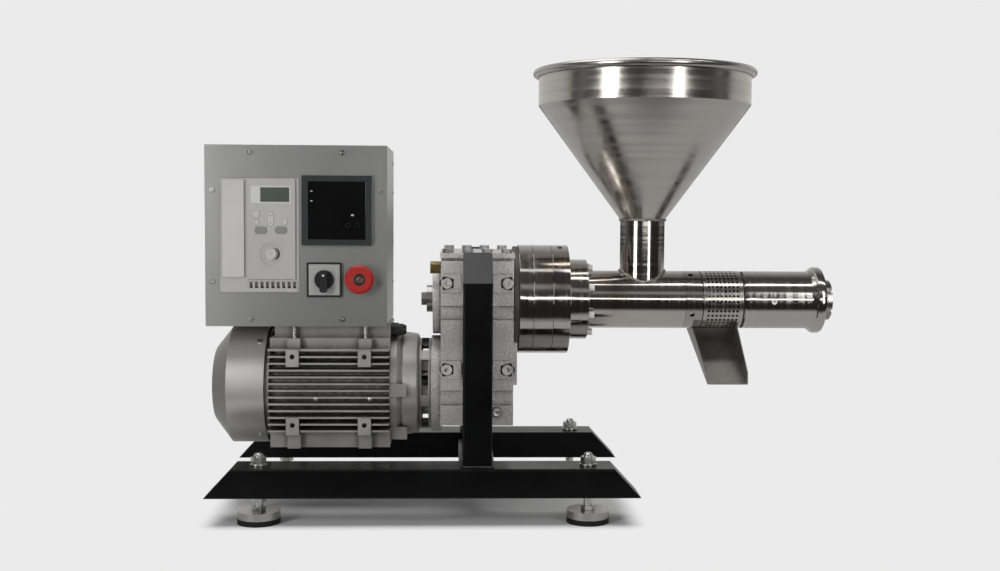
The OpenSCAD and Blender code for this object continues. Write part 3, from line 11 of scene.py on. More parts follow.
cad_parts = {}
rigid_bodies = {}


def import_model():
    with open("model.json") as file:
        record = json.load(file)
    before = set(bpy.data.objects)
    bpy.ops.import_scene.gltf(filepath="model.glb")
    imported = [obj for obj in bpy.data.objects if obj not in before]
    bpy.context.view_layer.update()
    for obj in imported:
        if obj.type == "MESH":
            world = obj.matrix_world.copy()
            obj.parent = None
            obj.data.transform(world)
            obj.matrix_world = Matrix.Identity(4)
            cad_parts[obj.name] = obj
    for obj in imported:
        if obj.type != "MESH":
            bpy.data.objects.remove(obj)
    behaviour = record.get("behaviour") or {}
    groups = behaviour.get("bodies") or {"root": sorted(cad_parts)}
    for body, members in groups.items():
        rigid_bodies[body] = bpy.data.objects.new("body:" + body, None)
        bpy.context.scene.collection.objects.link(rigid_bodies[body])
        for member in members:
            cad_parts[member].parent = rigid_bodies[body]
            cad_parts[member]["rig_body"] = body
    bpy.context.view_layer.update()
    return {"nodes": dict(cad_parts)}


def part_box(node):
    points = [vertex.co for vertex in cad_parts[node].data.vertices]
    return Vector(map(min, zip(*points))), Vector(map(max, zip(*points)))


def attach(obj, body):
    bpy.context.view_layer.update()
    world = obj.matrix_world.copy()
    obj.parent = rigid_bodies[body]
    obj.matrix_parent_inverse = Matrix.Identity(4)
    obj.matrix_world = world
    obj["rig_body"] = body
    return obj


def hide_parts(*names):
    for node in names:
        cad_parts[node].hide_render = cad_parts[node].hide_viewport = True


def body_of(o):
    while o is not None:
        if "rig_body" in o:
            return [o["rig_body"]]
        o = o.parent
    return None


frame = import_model()
nodes = frame["nodes"]


# ---- Camera
# A short telephoto lens stands 1.8 m in front of the machine, a little above the press axis,
# and looks slightly down and to the right.
LENS_MM = 44.33
CAMERA_AT = Vector((-0.101, -1.7991, 0.4246))
YAW, PITCH, ROLL = 0.0354, 0.0606, 0.0063

ahead = Vector((sin(YAW) * cos(PITCH), cos(YAW) * cos(PITCH), -sin(PITCH)))
level = Vector((cos(YAW), -sin(YAW), 0))
upward = level.cross(ahead)
to_right = cos(ROLL) * level + sin(ROLL) * upward
to_top = -sin(ROLL) * level + cos(ROLL) * upward

scene = bpy.context.scene
camera = bpy.data.objects.new("camera", bpy.data.cameras.new("camera"))
scene.collection.objects.link(camera)
camera.data.lens = LENS_MM
camera.matrix_world = Matrix.Translation(CAMERA_AT) @ Matrix((to_right, to_top, -ahead)).transposed().to_4x4()
scene.camera = camera
scene.view_settings.view_transform = "Standard"


# ---- Studio
# A white table top that runs into a pale backdrop, two upright soft boxes in front, two lamps overhead and
# three narrow strips. In front of the table the room is dark, which polished steel shows as dark bands.
PALE = (0.83, 0.83, 0.83, 1)
TABLE_COLOUR = (0.78, 0.78, 0.78, 1)
TABLE_DARK = (0.025, 0.025, 0.025, 1)
TABLE_R = 9.0
TABLE_DARK_FROM_Y, TABLE_DARK_Y = -0.31, -0.46
TABLE_SHINE = 0.62
BASE_MID = Vector((-0.144, 0.0, 0.0))
BASE_HALF = Vector((0.268, 0.150, 0.0))
FADE_OVER = 0.04
FILL_LIGHT = 0.17

# Ceiling and walls as the polished cylinders show them: degrees up from the front horizon, brightness
ROOM_BANDS = [
    (-90, 0.03), (0.0, 0.03), (10.0, 0.05), (22.0, 0.10), (27.0, 0.38), (32.0, 0.38), (37.0, 0.08),
    (78.0, 0.10), (92.0, 0.08), (103.0, 0.10), (117.0, 0.26), (134.0, 0.46), (180.0, 0.74),
]

# Lamps as (name, place, looks at, width, height, watts, shows in reflections)
LAMPS_AROUND = [
    ("left_soft_box", (-1.34, -1.60, 0.86), (0, 0, 0.86), 0.50, 1.7, 19, True),
    ("right_soft_box", (1.17, -1.95, 0.80), (0, 0, 0.80), 0.30, 1.5, 9, True),
    ("front_strip", (0.55, -2.0, 0.49), (0.55, 0, 0.49), 1.2, 0.13, 2.5, True),
    ("ceiling_strip", (0.95, -0.66, 1.73), (0.95, 0, 0.3), 1.5, 0.17, 4.0, True),
    ("plate_strip", (-0.05, -0.66, 1.73), (-0.05, 0, 0.3), 0.5, 0.17, 0.3, True),
    ("left_overhead", (-0.62, 0.0, 2.0), (-0.62, 0, 0), 1.2, 1.6, 13, True),
    ("right_overhead", (0.45, 0.2, 2.0), (0.45, 0.2, 0), 1.4, 1.6, 9, False),
]


def feed(tree, inputs, feeds):
    """Values put on inputs, and sockets linked to them."""
    for key, value in feeds.items():
        if isinstance(value, bpy.types.NodeSocket):
            tree.links.new(value, inputs[key])
        else:
            inputs[key].default_value = value


def add(tree, kind, feeds=None, **settings):
    """One shader node. Settings are its properties; feeds are values or sockets for its inputs."""
    node = tree.nodes.new("ShaderNode" + kind)
    for key, value in settings.items():
        setattr(node, key, value)
    feed(tree, node.inputs, feeds or {})
    return node


def maths(tree, operation, first, second=0.0):
    return add(tree, "Math", {0: first, 1: second}, operation=operation).outputs[0]


def times(tree, first, second):
    return maths(tree, "MULTIPLY", first, second)


def vector(tree, operation, first, second=(0, 0, 0), result=0):
    return add(tree, "VectorMath", {0: first, 1: second}, operation=operation).outputs[result]


def remap(tree, value, low, high, to_low=0.0, to_high=1.0, **settings):
    feeds = {"Value": value, "From Min": low, "From Max": high, "To Min": to_low, "To Max": to_high}
    return add(tree, "MapRange", feeds, **settings).outputs["Result"]


def blended(tree, mask, first, second, kind="RGBA"):
    return add(tree, "Mix", {"Factor": mask, "A": first, "B": second}, data_type=kind).outputs["Result"]


def where_in(tree, output="Object"):
    return add(tree, "TexCoord").outputs[output]


def axes(tree, place):
    return add(tree, "SeparateXYZ", {0: place}).outputs


def blank_tree(owner):
    owner.use_nodes = True
    owner.node_tree.nodes.clear()
    return owner.node_tree


def studio_world():
    world = bpy.data.worlds.new("studio")
    tree = blank_tree(world)
    way = axes(tree, where_in(tree, "Generated"))
    turn = maths(tree, "ARCTAN2", way["Z"], times(tree, way["Y"], -1.0))
    bands = add(tree, "ValToRGB", {"Fac": remap(tree, turn, -pi / 2, pi)})
    ramp = bands.color_ramp
    while len(ramp.elements) < len(ROOM_BANDS):
        ramp.elements.new(1.0)
    for stop, (degrees, grey) in zip(ramp.elements, ROOM_BANDS):
        stop.position = (degrees + 90) / 270
        stop.color = (grey, grey, grey * 0.985, 1)
    path = add(tree, "LightPath").outputs
    glossy = blended(tree, path["Is Glossy Ray"], (FILL_LIGHT, FILL_LIGHT, FILL_LIGHT, 1), bands.outputs["Color"])
    direct = maths(tree, "MAXIMUM", path["Is Camera Ray"], path["Is Transmission Ray"])
    shade = add(tree, "Background", {"Color": blended(tree, direct, glossy, PALE)})
    add(tree, "OutputWorld", {"Surface": shade.outputs[0]})
    return world


def table_material():
    made = bpy.data.materials.new("table_top")
    tree = blank_tree(made)
    place = add(tree, "NewGeometry").outputs["Position"]
    off = vector(tree, "ABSOLUTE", vector(tree, "SUBTRACT", place, BASE_MID))
    off = vector(tree, "MAXIMUM", vector(tree, "SUBTRACT", off, BASE_HALF))
    away = vector(tree, "LENGTH", off, result="Value")
    fade = remap(tree, away, 0.0, FADE_OVER, interpolation_type="SMOOTHSTEP")
    # Where a camera, glossy or see-through ray arrives, so that steel and glass show the pale studio too
    path = add(tree, "LightPath").outputs
    mirrored = path["Is Glossy Ray"]
    clear = maths(tree, "MAXIMUM", mirrored, path["Is Transmission Ray"])
    seen = maths(tree, "MAXIMUM", path["Is Camera Ray"], clear)
    front = remap(tree, axes(tree, place)["Y"], TABLE_DARK_FROM_Y, TABLE_DARK_Y)
    strength = remap(tree, mirrored, 0.0, 1.0, 1.0, TABLE_SHINE)
    paper = add(tree, "BsdfDiffuse", {"Color": TABLE_COLOUR}).outputs[0]
    pale = add(tree, "Emission", {"Color": PALE, "Strength": strength}).outputs[0]
    dark = add(tree, "Emission", {"Color": TABLE_DARK}).outputs[0]
    faded = add(tree, "MixShader", {0: times(tree, fade, seen), 1: paper, 2: pale}).outputs[0]
    near = times(tree, front, mirrored)
    done = add(tree, "MixShader", {0: near, 1: faded, 2: dark})
    add(tree, "OutputMaterial", {"Surface": done.outputs[0]})
    return made


def piece_from(mesh, shell, smooth=True):
    """An object named as its mesh, from what the shell holds, with its normals pointing out."""
    bmesh.ops.recalc_face_normals(shell, faces=shell.faces)
    shell.to_mesh(mesh)
    shell.free()
    mesh.polygons.foreach_set("use_smooth", [smooth] * len(mesh.polygons))
    made = bpy.data.objects.new(mesh.name, mesh)
    scene.collection.objects.link(made)
    return made


def mesh_piece(name, points, faces, smooth=True):
    mesh = bpy.data.meshes.new(name)
    mesh.from_pydata([tuple(p) for p in points], [], faces)
    shell = bmesh.new()
    shell.from_mesh(mesh)
    return piece_from(mesh, shell, smooth)


def circle(radius, count, start=0.0):
    """Points (x, y) at even steps round the origin."""
    turns = [tau * (k + start) / count for k in range(count)]
    return [(radius * cos(t), radius * sin(t)) for t in turns]


scene.world = studio_world()
rim = [(x, y, 0) for x, y in circle(TABLE_R, 96)]
table = mesh_piece("table_top", rim, [tuple(range(96))], smooth=False)
table.data.materials.append(table_material())
for name, place, target, width, height, watts, in_reflections in LAMPS_AROUND:
    light = bpy.data.lights.new(name, "AREA")
    light.shape, light.size, light.size_y, light.energy = "RECTANGLE", width, height, watts
    lamp = bpy.data.objects.new(name, light)
    lamp.location = place
    lamp.rotation_euler = (Vector(target) - Vector(place)).to_track_quat("-Z", "Y").to_euler()
    lamp.visible_camera, lamp.visible_glossy = False, in_reflections
    scene.collection.objects.link(lamp)


# ---- Base rails and uprights
# Box-section steel, sawn to mitres, welded and powder coated a satin black. The edges are lightened grey, as rub wear
# and as a painted highlight along the rounded corners, and the sawn tops of the uprights are painted a lighter grey
# as a painted highlight. A bead of weld runs round the foot of each upright.
BLACK_COAT = (0.0028, 0.0029, 0.003, 1)
COAT_EDGE_WEAR_AND_SHINE = (0.15, 0.15, 0.152, 1)
SLOPE_PAINTED_LIGHT = (0.062, 0.062, 0.064, 1)
RAIL_BEVEL = 0.0008
UPRIGHT_SIDE = 0.040
WELD_R = 0.0021
TONE_TAKES = {"Colour": (0.5, 0.5, 0.5, 1), "Drift": 0.1, "Drift Scale": 12.0, "Specks": 0.05, "Speck Scale": 900.0}
GRAIN_TAKES = {"Scale": 700.0, "Coarse Scale": 120.0, "Coarse Share": 0.3}


def effect_group(name, takes, gives):
    """An empty node group with those sockets, of which only Colour is a colour, and its two end nodes."""
    group = bpy.data.node_groups.new(name, "ShaderNodeTree")
    for way, labels in (("INPUT", takes), ("OUTPUT", gives)):
        for label in labels:
            kind = "NodeSocketColor" if label == "Colour" else "NodeSocketFloat"
            socket = group.interface.new_socket(label, in_out=way, socket_type=kind)
            if way == "INPUT":
                socket.default_value = takes[label]
    return group, group.nodes.new("NodeGroupInput").outputs, group.nodes.new("NodeGroupOutput").inputs


def noise(tree, where, scale, detail, kind="3D"):
    feeds = {"W" if kind == "1D" else "Vector": where, "Scale": scale, "Detail": detail}
    return add(tree, "TexNoise", feeds, noise_dimensions=kind).outputs["Fac"]


def uneven_tone():
    """Colour that drifts lighter and darker over the surface, with fine specks."""
    group, takes, gives = effect_group("uneven_tone", TONE_TAKES, ("Colour", "Mask"))
    where = where_in(group)
    broad = remap(group, noise(group, where, takes["Drift Scale"], 5.0), 0.3, 0.7, -1.0, 1.0)
    broad = times(group, broad, takes["Drift"])
    fine = remap(group, noise(group, where, takes["Speck Scale"], 2.0), 0.25, 0.75, -1.0, 1.0)
    fine = times(group, fine, takes["Specks"])
    gain = maths(group, "ADD", maths(group, "ADD", broad, fine), 1.0)
    tone = add(group, "VectorMath", {0: takes["Colour"], "Scale": gain}, operation="SCALE").outputs[0]
    feed(group, gives, {"Colour": tone, "Mask": broad})
    return group


def edge_wear_and_highlight():
    """A mask of the outer edges, where a coat rubs thin, and, on some finishes, where a painted highlight runs along
    them.
    """
    group, takes, gives = effect_group("edge_wear_and_highlight", {"Radius": 0.0012, "Breaks": 60.0}, ["Mask"])
    soft = add(group, "Bevel", {"Radius": takes["Radius"]}, samples=3).outputs["Normal"]
    true = add(group, "NewGeometry").outputs["Normal"]
    edge = remap(group, vector(group, "DOT_PRODUCT", soft, true, "Value"), 0.995, 0.9)
    broken = remap(group, noise(group, where_in(group), takes["Breaks"], 4.0), 0.42, 0.62)
    feed(group, gives, {"Mask": times(group, edge, broken)})
    return group


def fine_grain():
    """Height of a finely uneven surface: two sizes of noise, mixed."""
    group, takes, gives = effect_group("fine_grain", GRAIN_TAKES, ["Height"])
    where = where_in(group)
    fine = noise(group, where, takes["Scale"], 3.0)
    coarse = noise(group, where, takes["Coarse Scale"], 2.0)
    feed(group, gives, {"Height": blended(group, takes["Coarse Share"], fine, coarse, "FLOAT")})
    return group


def painted_corner_shade():
    """A mask of the corners and gaps where little light reaches, which darkens them as painted shade."""
    group, takes, gives = effect_group("painted_corner_shade", {"Reach": 0.012, "Speckle": 140.0}, ["Mask"])
    open_here = add(group, "AmbientOcclusion", {"Distance": takes["Reach"]}, samples=6).outputs["AO"]
    broken = remap(group, noise(group, where_in(group), takes["Speckle"], 4.0), 0.25, 0.6, 0.6, 1.0)
    feed(group, gives, {"Mask": times(group, remap(group, open_here, 0.92, 0.35), broken)})
    return group


TONE, EDGES, GRAIN, SHADE_IN_CORNERS = uneven_tone(), edge_wear_and_highlight(), fine_grain(), painted_corner_shade()


def placed(tree, group, feeds=None):
    return add(tree, "Group", feeds, node_tree=group).outputs


def finish(name, colour, roughness, metallic=0.0, tone=(), grain=(), bump=0.1, depth=0.0004,
           edge=None, edge_gain=0.5, rough_drift=0.0, corner_shade=None, shade_reach=0.012, **sockets):
    """A finish: uneven tone in the colour and grain in the bump, as numbers for the sockets of their groups in
    order, and, where the edge and shade colours are given, edges lightened to one, as rub wear and on some finishes
    as a painted highlight, and corners and gaps darkened to the other as painted shade."""
    made = bpy.data.materials.new(name)
    tree = blank_tree(made)
    shader = add(tree, "BsdfPrincipled", {"Roughness": roughness, "Metallic": metallic})
    toned = placed(tree, TONE, dict(zip(TONE_TAKES, (colour, *tone))))
    coloured = toned["Colour"]
    if edge:
        mask = times(tree, placed(tree, EDGES)["Mask"], edge_gain)
        coloured = blended(tree, mask, coloured, edge)
    if corner_shade:
        coloured = blended(tree, placed(tree, SHADE_IN_CORNERS, {"Reach": shade_reach})["Mask"], coloured, corner_shade)
    feeds = {"Base Color": coloured}
    if rough_drift:
        feeds["Roughness"] = remap(tree, toned["Mask"], -0.2, 0.2, roughness - rough_drift, roughness + rough_drift)
    if grain:
        height = placed(tree, GRAIN, dict(zip(GRAIN_TAKES, grain)))["Height"]
        feeds["Normal"] = add(tree, "Bump", {"Height": height, "Strength": bump, "Distance": depth}).outputs[0]
    for key, value in sockets.items():
        feeds[key.replace("_", " ").title().replace("Ior", "IOR")] = value
    feed(tree, shader.inputs, feeds)
    add(tree, "OutputMaterial", {"Surface": shader.outputs[0]})
    return made


def shader_of(made):
    return next(node for node in made.node_tree.nodes if node.type == "BSDF_PRINCIPLED")


def recoloured(made, change):
    """The finish's own colour goes through a change on its way to the shader."""
    base = shader_of(made).inputs["Base Color"]
    made.node_tree.links.new(change(made.node_tree, base.links[0].from_socket), base)


def graded_colour(made, colour, axis, low, high, strength=1.0, output="Normal"):
    """Another colour comes in as a coordinate, or a part of the normal, goes from low to high: a second tone of a
    part, or painted light and shade by the way faces turn.
    """
    def change(tree, own):
        share = remap(tree, axes(tree, where_in(tree, output))[axis], low, high, 0.0, strength)
        return blended(tree, share, own, colour)

    recoloured(made, change)


def creased(piece, degrees=35.0):
    piece.modifiers.new("crease", "EDGE_SPLIT").split_angle = radians(degrees)
    return piece


def eased(piece, bevel, limit, crease):
    """Eased edges, then smooth shading up to a crease."""
    if bevel:
        ease = piece.modifiers.new("ease", "BEVEL")
        ease.width, ease.segments, ease.limit_method = bevel, 2, "ANGLE"
        ease.angle_limit = radians(limit)
    creased(piece, crease).modifiers.new("flats", "WEIGHTED_NORMAL").keep_sharp = True


def dress(made, *names, bevel=0.0, crease=32.0):
    """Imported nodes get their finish, smooth shading, and eased edges where they show."""
    for name in names:
        node = nodes[name]
        node.data.materials.clear()
        node.data.materials.append(made)
        node.data.polygons.foreach_set("use_smooth", [True] * len(node.data.polygons))
        node.modifiers.new("join", "WELD").merge_threshold = 1e-6
        eased(node, bevel, 40, crease)


def dressed(piece, made, body="frame"):
    """A new piece gets its finish and rides its body."""
    piece.data.materials.append(made)
    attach(piece, body)


def between(low, high):
    """Faces from one ring of point numbers to the next, where a ring of one point is a tip."""
    faces, count = [], max(len(low), len(high))
    for k in range(count):
        m = (k + 1) % count
        corners = (low[k % len(low)], low[m % len(low)], high[m % len(high)], high[k % len(high)])
        faces.append(tuple(dict.fromkeys(corners)))
    return faces


def rings_of(count, sides):
    """Point numbers of that many rings, one after the other."""
    return [range(i * sides, (i + 1) * sides) for i in range(count)]


def joined(rings):
    return [face for low, high in zip(rings, rings[1:]) for face in between(low, high)]


def weld_bead(name, path, radius, ripple=0.0034):
    """A rippled bead along a closed path, with eight sides, swelling and thinning as the arc was moved."""
    points, sides, run = [], 8, 0.0
    chance = random.Random(len(path))
    for i, p in enumerate(path):
        before, after = path[i - 1], path[(i + 1) % len(path)]
        run += (p - before).length if i else 0.0
        along = (after - before).normalized()
        out = along.orthogonal().normalized()
        side = along.cross(out)
        thick = radius * (0.86 + 0.2 * cos(tau * run / ripple) + chance.uniform(-0.05, 0.05))
        points += [p + x * out + y * side for x, y in circle(thick, sides)]
    rings = rings_of(len(path), sides)
    return mesh_piece(name, points, joined(rings + rings[:1]))


def along_corners(corners, step=0.0009):
    """Points at an even step along straight runs from corner to corner, back to the first."""
    path = []
    for here, after in zip(corners, corners[1:] + corners[:1]):
        count = max(2, round((after - here).length / step))
        path += [here.lerp(after, i / count) for i in range(count)]
    return path


# The edge colour lightens the rounded edges: rub wear, and a painted highlight for the light along the corners.
for name in ("base_rails", "uprights"):
    black_coat = finish(
        "black_coat_" + name, BLACK_COAT, 0.3, tone=(0.25, 12.0, 0.3, 500.0), grain=(520.0, 160.0), bump=0.16,
        depth=0.0003, edge=COAT_EDGE_WEAR_AND_SHINE, edge_gain=0.9, rough_drift=0.04, specular_ior_level=0.13)
    dress(black_coat, name, bevel=RAIL_BEVEL)
# Faces of the uprights that turn upward, their sawn tops, are painted a lighter grey: a painted highlight for the
# light they catch.
graded_colour(black_coat, SLOPE_PAINTED_LIGHT, "Z", 0.5, 0.65)

upright_low, upright_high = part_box("uprights")
upright_mid_x = (upright_low.x + upright_high.x) / 2
upright_y = upright_high.y - UPRIGHT_SIDE / 2
for side, name in ((-1, "front"), (1, "rear")):
    half = UPRIGHT_SIDE / 2 + WELD_R * 0.3
    corners = [Vector((upright_mid_x + a * half, side * upright_y + b * half, upright_low.z + WELD_R * 0.3))
               for a, b in ((-1, -1), (1, -1), (1, 1), (-1, 1))]
    bead = weld_bead(name + "_upright_weld", along_corners(corners), WELD_R)
    dressed(bead, black_coat)


# ---- Levelling feet
# Zinc-plated M12 studs with a hexagon and a ball end, washers and nuts, standing in turned steel discs.
# The discs are glued to black rubber pads.
ZINC = (0.52, 0.52, 0.51, 1)
TURNED = (0.40, 0.395, 0.385, 1)
RUBBER = (0.007, 0.007, 0.007, 1)
STUD_R = 0.006
THREAD_PITCH = 0.00175
SHINE_DRIFT = 0.05
RUBBER_WORN = (0.04, 0.04, 0.04, 1)


def turning_lines():
    """Height and mask of the fine lines that a lathe tool leaves along an axis (1 for X, 0 for Z)."""
    group, takes, gives = effect_group("turning_lines", {"Along X": 1.0, "Lines": 2600.0}, ("Height", "Mask"))
    spot = axes(group, where_in(group))
    along = blended(group, takes["Along X"], spot["Z"], spot["X"], "FLOAT")
    broad = noise(group, along, times(group, takes["Lines"], 0.08), 2.0, "1D")
    feed(group, gives, {"Height": noise(group, along, takes["Lines"], 3.0, "1D"), "Mask": broad})
    return group


TURNING = turning_lines()


def lined(name, colour, roughness, tone, group, feeds, spread, depth):
    """Metal with the lines of a tool: the lines in the bump, bands of slightly different shine."""
    made = finish(name, colour, roughness, 1.0, tone=tone)
    tree = made.node_tree
    line = placed(tree, group, feeds)
    bumped = add(tree, "Bump", {"Height": line["Height"], "Strength": 0.5, "Distance": depth}).outputs[0]
    rough = remap(tree, line["Mask"], 0.5 - spread, 0.5 + spread, roughness - SHINE_DRIFT, roughness + SHINE_DRIFT)
    feed(tree, shader_of(made).inputs, {"Normal": bumped, "Roughness": rough})
    return made


def turned(name, colour, roughness, along_x=1.0, lines=2600.0, depth=0.00002, drift=0.08):
    """Metal off the lathe."""
    feeds = {"Along X": along_x, "Lines": lines}
    return lined(name, colour, roughness, (drift, 12.0, 0.03), TURNING, feeds, 0.2, depth)


zinc = finish(
    "zinc_plate", ZINC, 0.3, 1.0, tone=(0.18, 60.0, 0.08), grain=(1500.0,), bump=0.12, depth=0.0001,
    rough_drift=0.1)
disc_steel = turned("turned_disc", TURNED, 0.26, along_x=0.0)
rubber = finish(
    "black_rubber", RUBBER, 0.62, tone=(0.2, 12.0, 0.2), grain=(900.0,), bump=0.25, depth=0.0004, edge=RUBBER_WORN,
    edge_gain=0.5, specular_ior_level=0.2)
dress(zinc, "foot_nuts", bevel=0.0004)
dress(disc_steel, "foot_discs", bevel=0.0006)
dress(rubber, "foot_rubbers", bevel=0.0009)


def thread_ridge(name, at, low, high, radius, pitch):
    """The ridge of a screw thread: a triangular band wound round the stud."""
    points, steps = [], 24
    count = int((high - low) / pitch * steps)
    for i in range(count + 1):
        a, z = tau * i / steps, low + (high - low) * i / count
        for r, dz in ((radius - 0.0004, -pitch * 0.36), (radius + 0.0005, 0), (radius - 0.0004, pitch * 0.36)):
            points.append((at.x + r * cos(a), at.y + r * sin(a), z + dz))
    rings = rings_of(count + 1, 3)
    return mesh_piece(name, points, joined(rings) + [tuple(rings[0]), tuple(rings[-1])])


nut_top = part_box("foot_nuts")[1].z
for i in range(1, 5):
    node = "foot_stud_%d" % i
    dress(zinc, node, bevel=0.0004)
    low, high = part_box(node)
    centre = (low + high) / 2
    thread = thread_ridge(node + "_thread", centre, nut_top, high.z - 0.0025, STUD_R, THREAD_PITCH)
    dressed(thread, zinc, "foot_%d" % i)


# ---- Motor
# Cast aluminium frame with cooling fins, end shields and a pressed fan cowl, all sprayed satin silver
# grey. Foot pads are machined in pairs on its sides and hold nothing on this machine.
MOTOR_PAINT = (0.44, 0.434, 0.422, 1)
MOTOR_CORNER_SHADE = (0.09, 0.087, 0.082, 1)
COWL_PAINT = (0.52, 0.512, 0.498, 1)
COWL_PAINTED_SHADE = (0.13, 0.128, 0.122, 1)
MOTOR_WORN = (0.46, 0.455, 0.44, 1)
COPPER = (0.30, 0.12, 0.05, 1)
FAN_BLACK = (0.02, 0.02, 0.021, 1)
GROUND = (0.42, 0.415, 0.405, 1)
PLATE_RIVETS = [(-0.2965, 0.1609), (-0.2215, 0.1609)]
PLATE_RIVET = [(0, 0.0002), (0.0010, 0.0002), (0.0013, 0.0022), (0.0026, 0.0017), (0.0029, 0.0006),
               (0.0029, -0.004), (0, -0.004)]

# Corners and gaps of the motor's paint are darkened as painted shade; its edges show rub wear.
motor_paint = finish(
    "motor_grey", MOTOR_PAINT, 0.36, 0.6, corner_shade=MOTOR_CORNER_SHADE, tone=(0.12, 18.0, 0.05), grain=(380.0, 70.0, 0.45),
    bump=0.22, depth=0.0007, edge=MOTOR_WORN, edge_gain=0.55, rough_drift=0.06, coat_weight=0.12,
    coat_roughness=0.25)
# The cowl's grey is a lighter copy of the motor grey, as painted light on its lit top, and it darkens on faces turned
# to the left and downward as painted shade.
cowl_paint = finish(
    "cowl_grey", COWL_PAINT, 0.34, 0.65, tone=(0.06, 8.0, 0.04), grain=(600.0, 30.0, 0.25), bump=0.06,
    depth=0.0004, rough_drift=0.03, coat_weight=0.15, coat_roughness=0.2)
graded_colour(cowl_paint, COWL_PAINTED_SHADE, "X", -0.25, -0.4, 0.85)
graded_colour(cowl_paint, COWL_PAINTED_SHADE, "Z", -0.2, -0.9, 0.8)
winding = finish(
    "winding_varnish", COPPER, 0.35, 0.5, tone=(0.3, 12.0, 0.3), grain=(500.0,), bump=0.5, depth=0.0008)
fan_plastic = finish("fan_plastic", FAN_BLACK, 0.5, tone=(0.2,), grain=(700.0,), bump=0.15)
bare_steel = turned("ground_steel", GROUND, 0.28)
dress(motor_paint, "motor_frame", bevel=0.0007)
dress(motor_paint, "motor_front_shield", bevel=0.0006)
for made, name in ((motor_paint, "motor_rear_shield"), (cowl_paint, "fan_cowl"), (winding, "motor_stator"),
                   (bare_steel, "motor_rotor"), (fan_plastic, "motor_fan")):
    dress(made, name)


def lathed(name, outline, place, sides):
    """A turned piece: its outline of (radius, height) goes round the local Z axis, and place sets it down."""
    points, rings = [], []
    for r, h in outline:
        spots = circle(r, sides) if r else [(0, 0)]
        rings.append(range(len(points), len(points) + len(spots)))
        points += [place @ Vector((x, y, h)) for x, y in spots]
    return mesh_piece(name, points, joined(rings))


def facing(x, y, z, axis="X", degrees=90):
    """Local Z turned round an axis, at that place: to the front, unless told otherwise."""
    return Matrix.Translation((x, y, z)) @ Matrix.Rotation(radians(degrees), 4, axis)


# Two empty plate rivets, hollow in the middle, on the fins under the upper pads
fin_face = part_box("motor_frame")[0].y + 0.003
for i, (x, z) in enumerate(PLATE_RIVETS):
    rivet = lathed("plate_rivet_%d" % (i + 1), PLATE_RIVET, facing(x, fin_face, z), sides=20)
    dressed(creased(rivet), zinc)


# ---- Coupling and lantern
# A cast aluminium lantern, left open at its sides, joins the motor's flange to the gearbox. Inside, two
# sintered steel hubs drive each other through a rubber spider.
SPIDER_RED = (0.20, 0.012, 0.010, 1)
LANTERN_PAINT = (0.32, 0.316, 0.308, 1)
SINTERED = (0.20, 0.197, 0.19, 1)

# The lantern's corners and gaps are darkened as painted shade as well.
lantern_paint = finish(
    "lantern_grey", LANTERN_PAINT, 0.36, 0.5, corner_shade=MOTOR_CORNER_SHADE, tone=(0.12, 12.0, 0.06), grain=(420.0, 80.0, 0.4),
    bump=0.2, depth=0.0006, edge=MOTOR_WORN, edge_gain=0.4, coat_weight=0.1)
hub_steel = turned("sintered_hub", SINTERED, 0.38)
spider_rubber = finish("spider_rubber", SPIDER_RED, 0.5, tone=(0.15,), grain=(700.0,), bump=0.12)
dress(lantern_paint, "lantern", bevel=0.0006)
dress(hub_steel, "coupling_hubs")
dress(spider_rubber, "coupling_spider")


# ---- Gearbox
# Sand-cast iron case and cover, sprayed silver over a fine grain, bolted with zinc-plated hardware.
# Gears and shafts inside are ground steel; the breather on top is brass.
CASE_PAINT = (0.56, 0.551, 0.531, 1)
CASE_EDGE_HIGHLIGHT = (0.86, 0.85, 0.83, 1)
CASE_CORNER_SHADE = (0.05, 0.047, 0.042, 1)
BRASS = (0.26, 0.19, 0.075, 1)
DRAIN_STEEL = (0.40, 0.39, 0.37, 1)
GEAR_GREY = (0.36, 0.352, 0.34, 1)
BEARING_GREY = (0.55, 0.545, 0.535, 1)
SEAL_BLACK = (0.016, 0.015, 0.014, 1)
DULL_ZINC = (0.78, 0.77, 0.755, 1)
OXIDE = (0.055, 0.053, 0.052, 1)
OXIDE_WORN = (0.2, 0.195, 0.19, 1)
BREATHER_FROM_Z = 0.25

# The case's edges are lightened to near white as painted highlight, and its corners and gaps darkened as painted
# shade.
case_paint = finish(
    "cast_case", CASE_PAINT, 0.40, 0.45, corner_shade=CASE_CORNER_SHADE, shade_reach=0.010, tone=(0.16, 18.0, 0.24, 420.0),
    grain=(430.0, 210.0, 0.5), bump=0.75, depth=0.0012, edge=CASE_EDGE_HIGHLIGHT, edge_gain=0.6, rough_drift=0.05)
gear_steel = turned("gear_steel", GEAR_GREY, 0.3)
bearing_steel = turned("bearing_steel", BEARING_GREY, 0.16)
seal_rubber = finish("seal_rubber", SEAL_BLACK, 0.45, tone=(0.15,), grain=(800.0,), bump=0.1)
brass = finish("plug_metal", BRASS, 0.34, 1.0, tone=(0.3, 90.0), grain=(1200.0,), bump=0.12, rough_drift=0.08)
graded_colour(brass, DRAIN_STEEL, "Z", BREATHER_FROM_Z, BREATHER_FROM_Z - 0.01, output="Object")
zinc_dull = finish(
    "dull_zinc", DULL_ZINC, 0.3, 0.5, tone=(0.2, 70.0), grain=(1300.0,), bump=0.12, depth=0.0001, rough_drift=0.08)
black_oxide = finish(
    "black_oxide", OXIDE, 0.36, 0.8, tone=(0.25, 12.0, 0.2), grain=(1200.0,), bump=0.1, edge=OXIDE_WORN,
    edge_gain=0.6)
dress(case_paint, "gear_case", "top_cover", "end_cover", bevel=0.0008)
dress(gear_steel, "input_pinion", "intermediate_shaft", "output_gear")
dress(bare_steel, "output_shaft")
dress(bearing_steel, "bearings")
dress(seal_rubber, "shaft_seals")
dress(brass, "oil_plugs", bevel=0.0004)
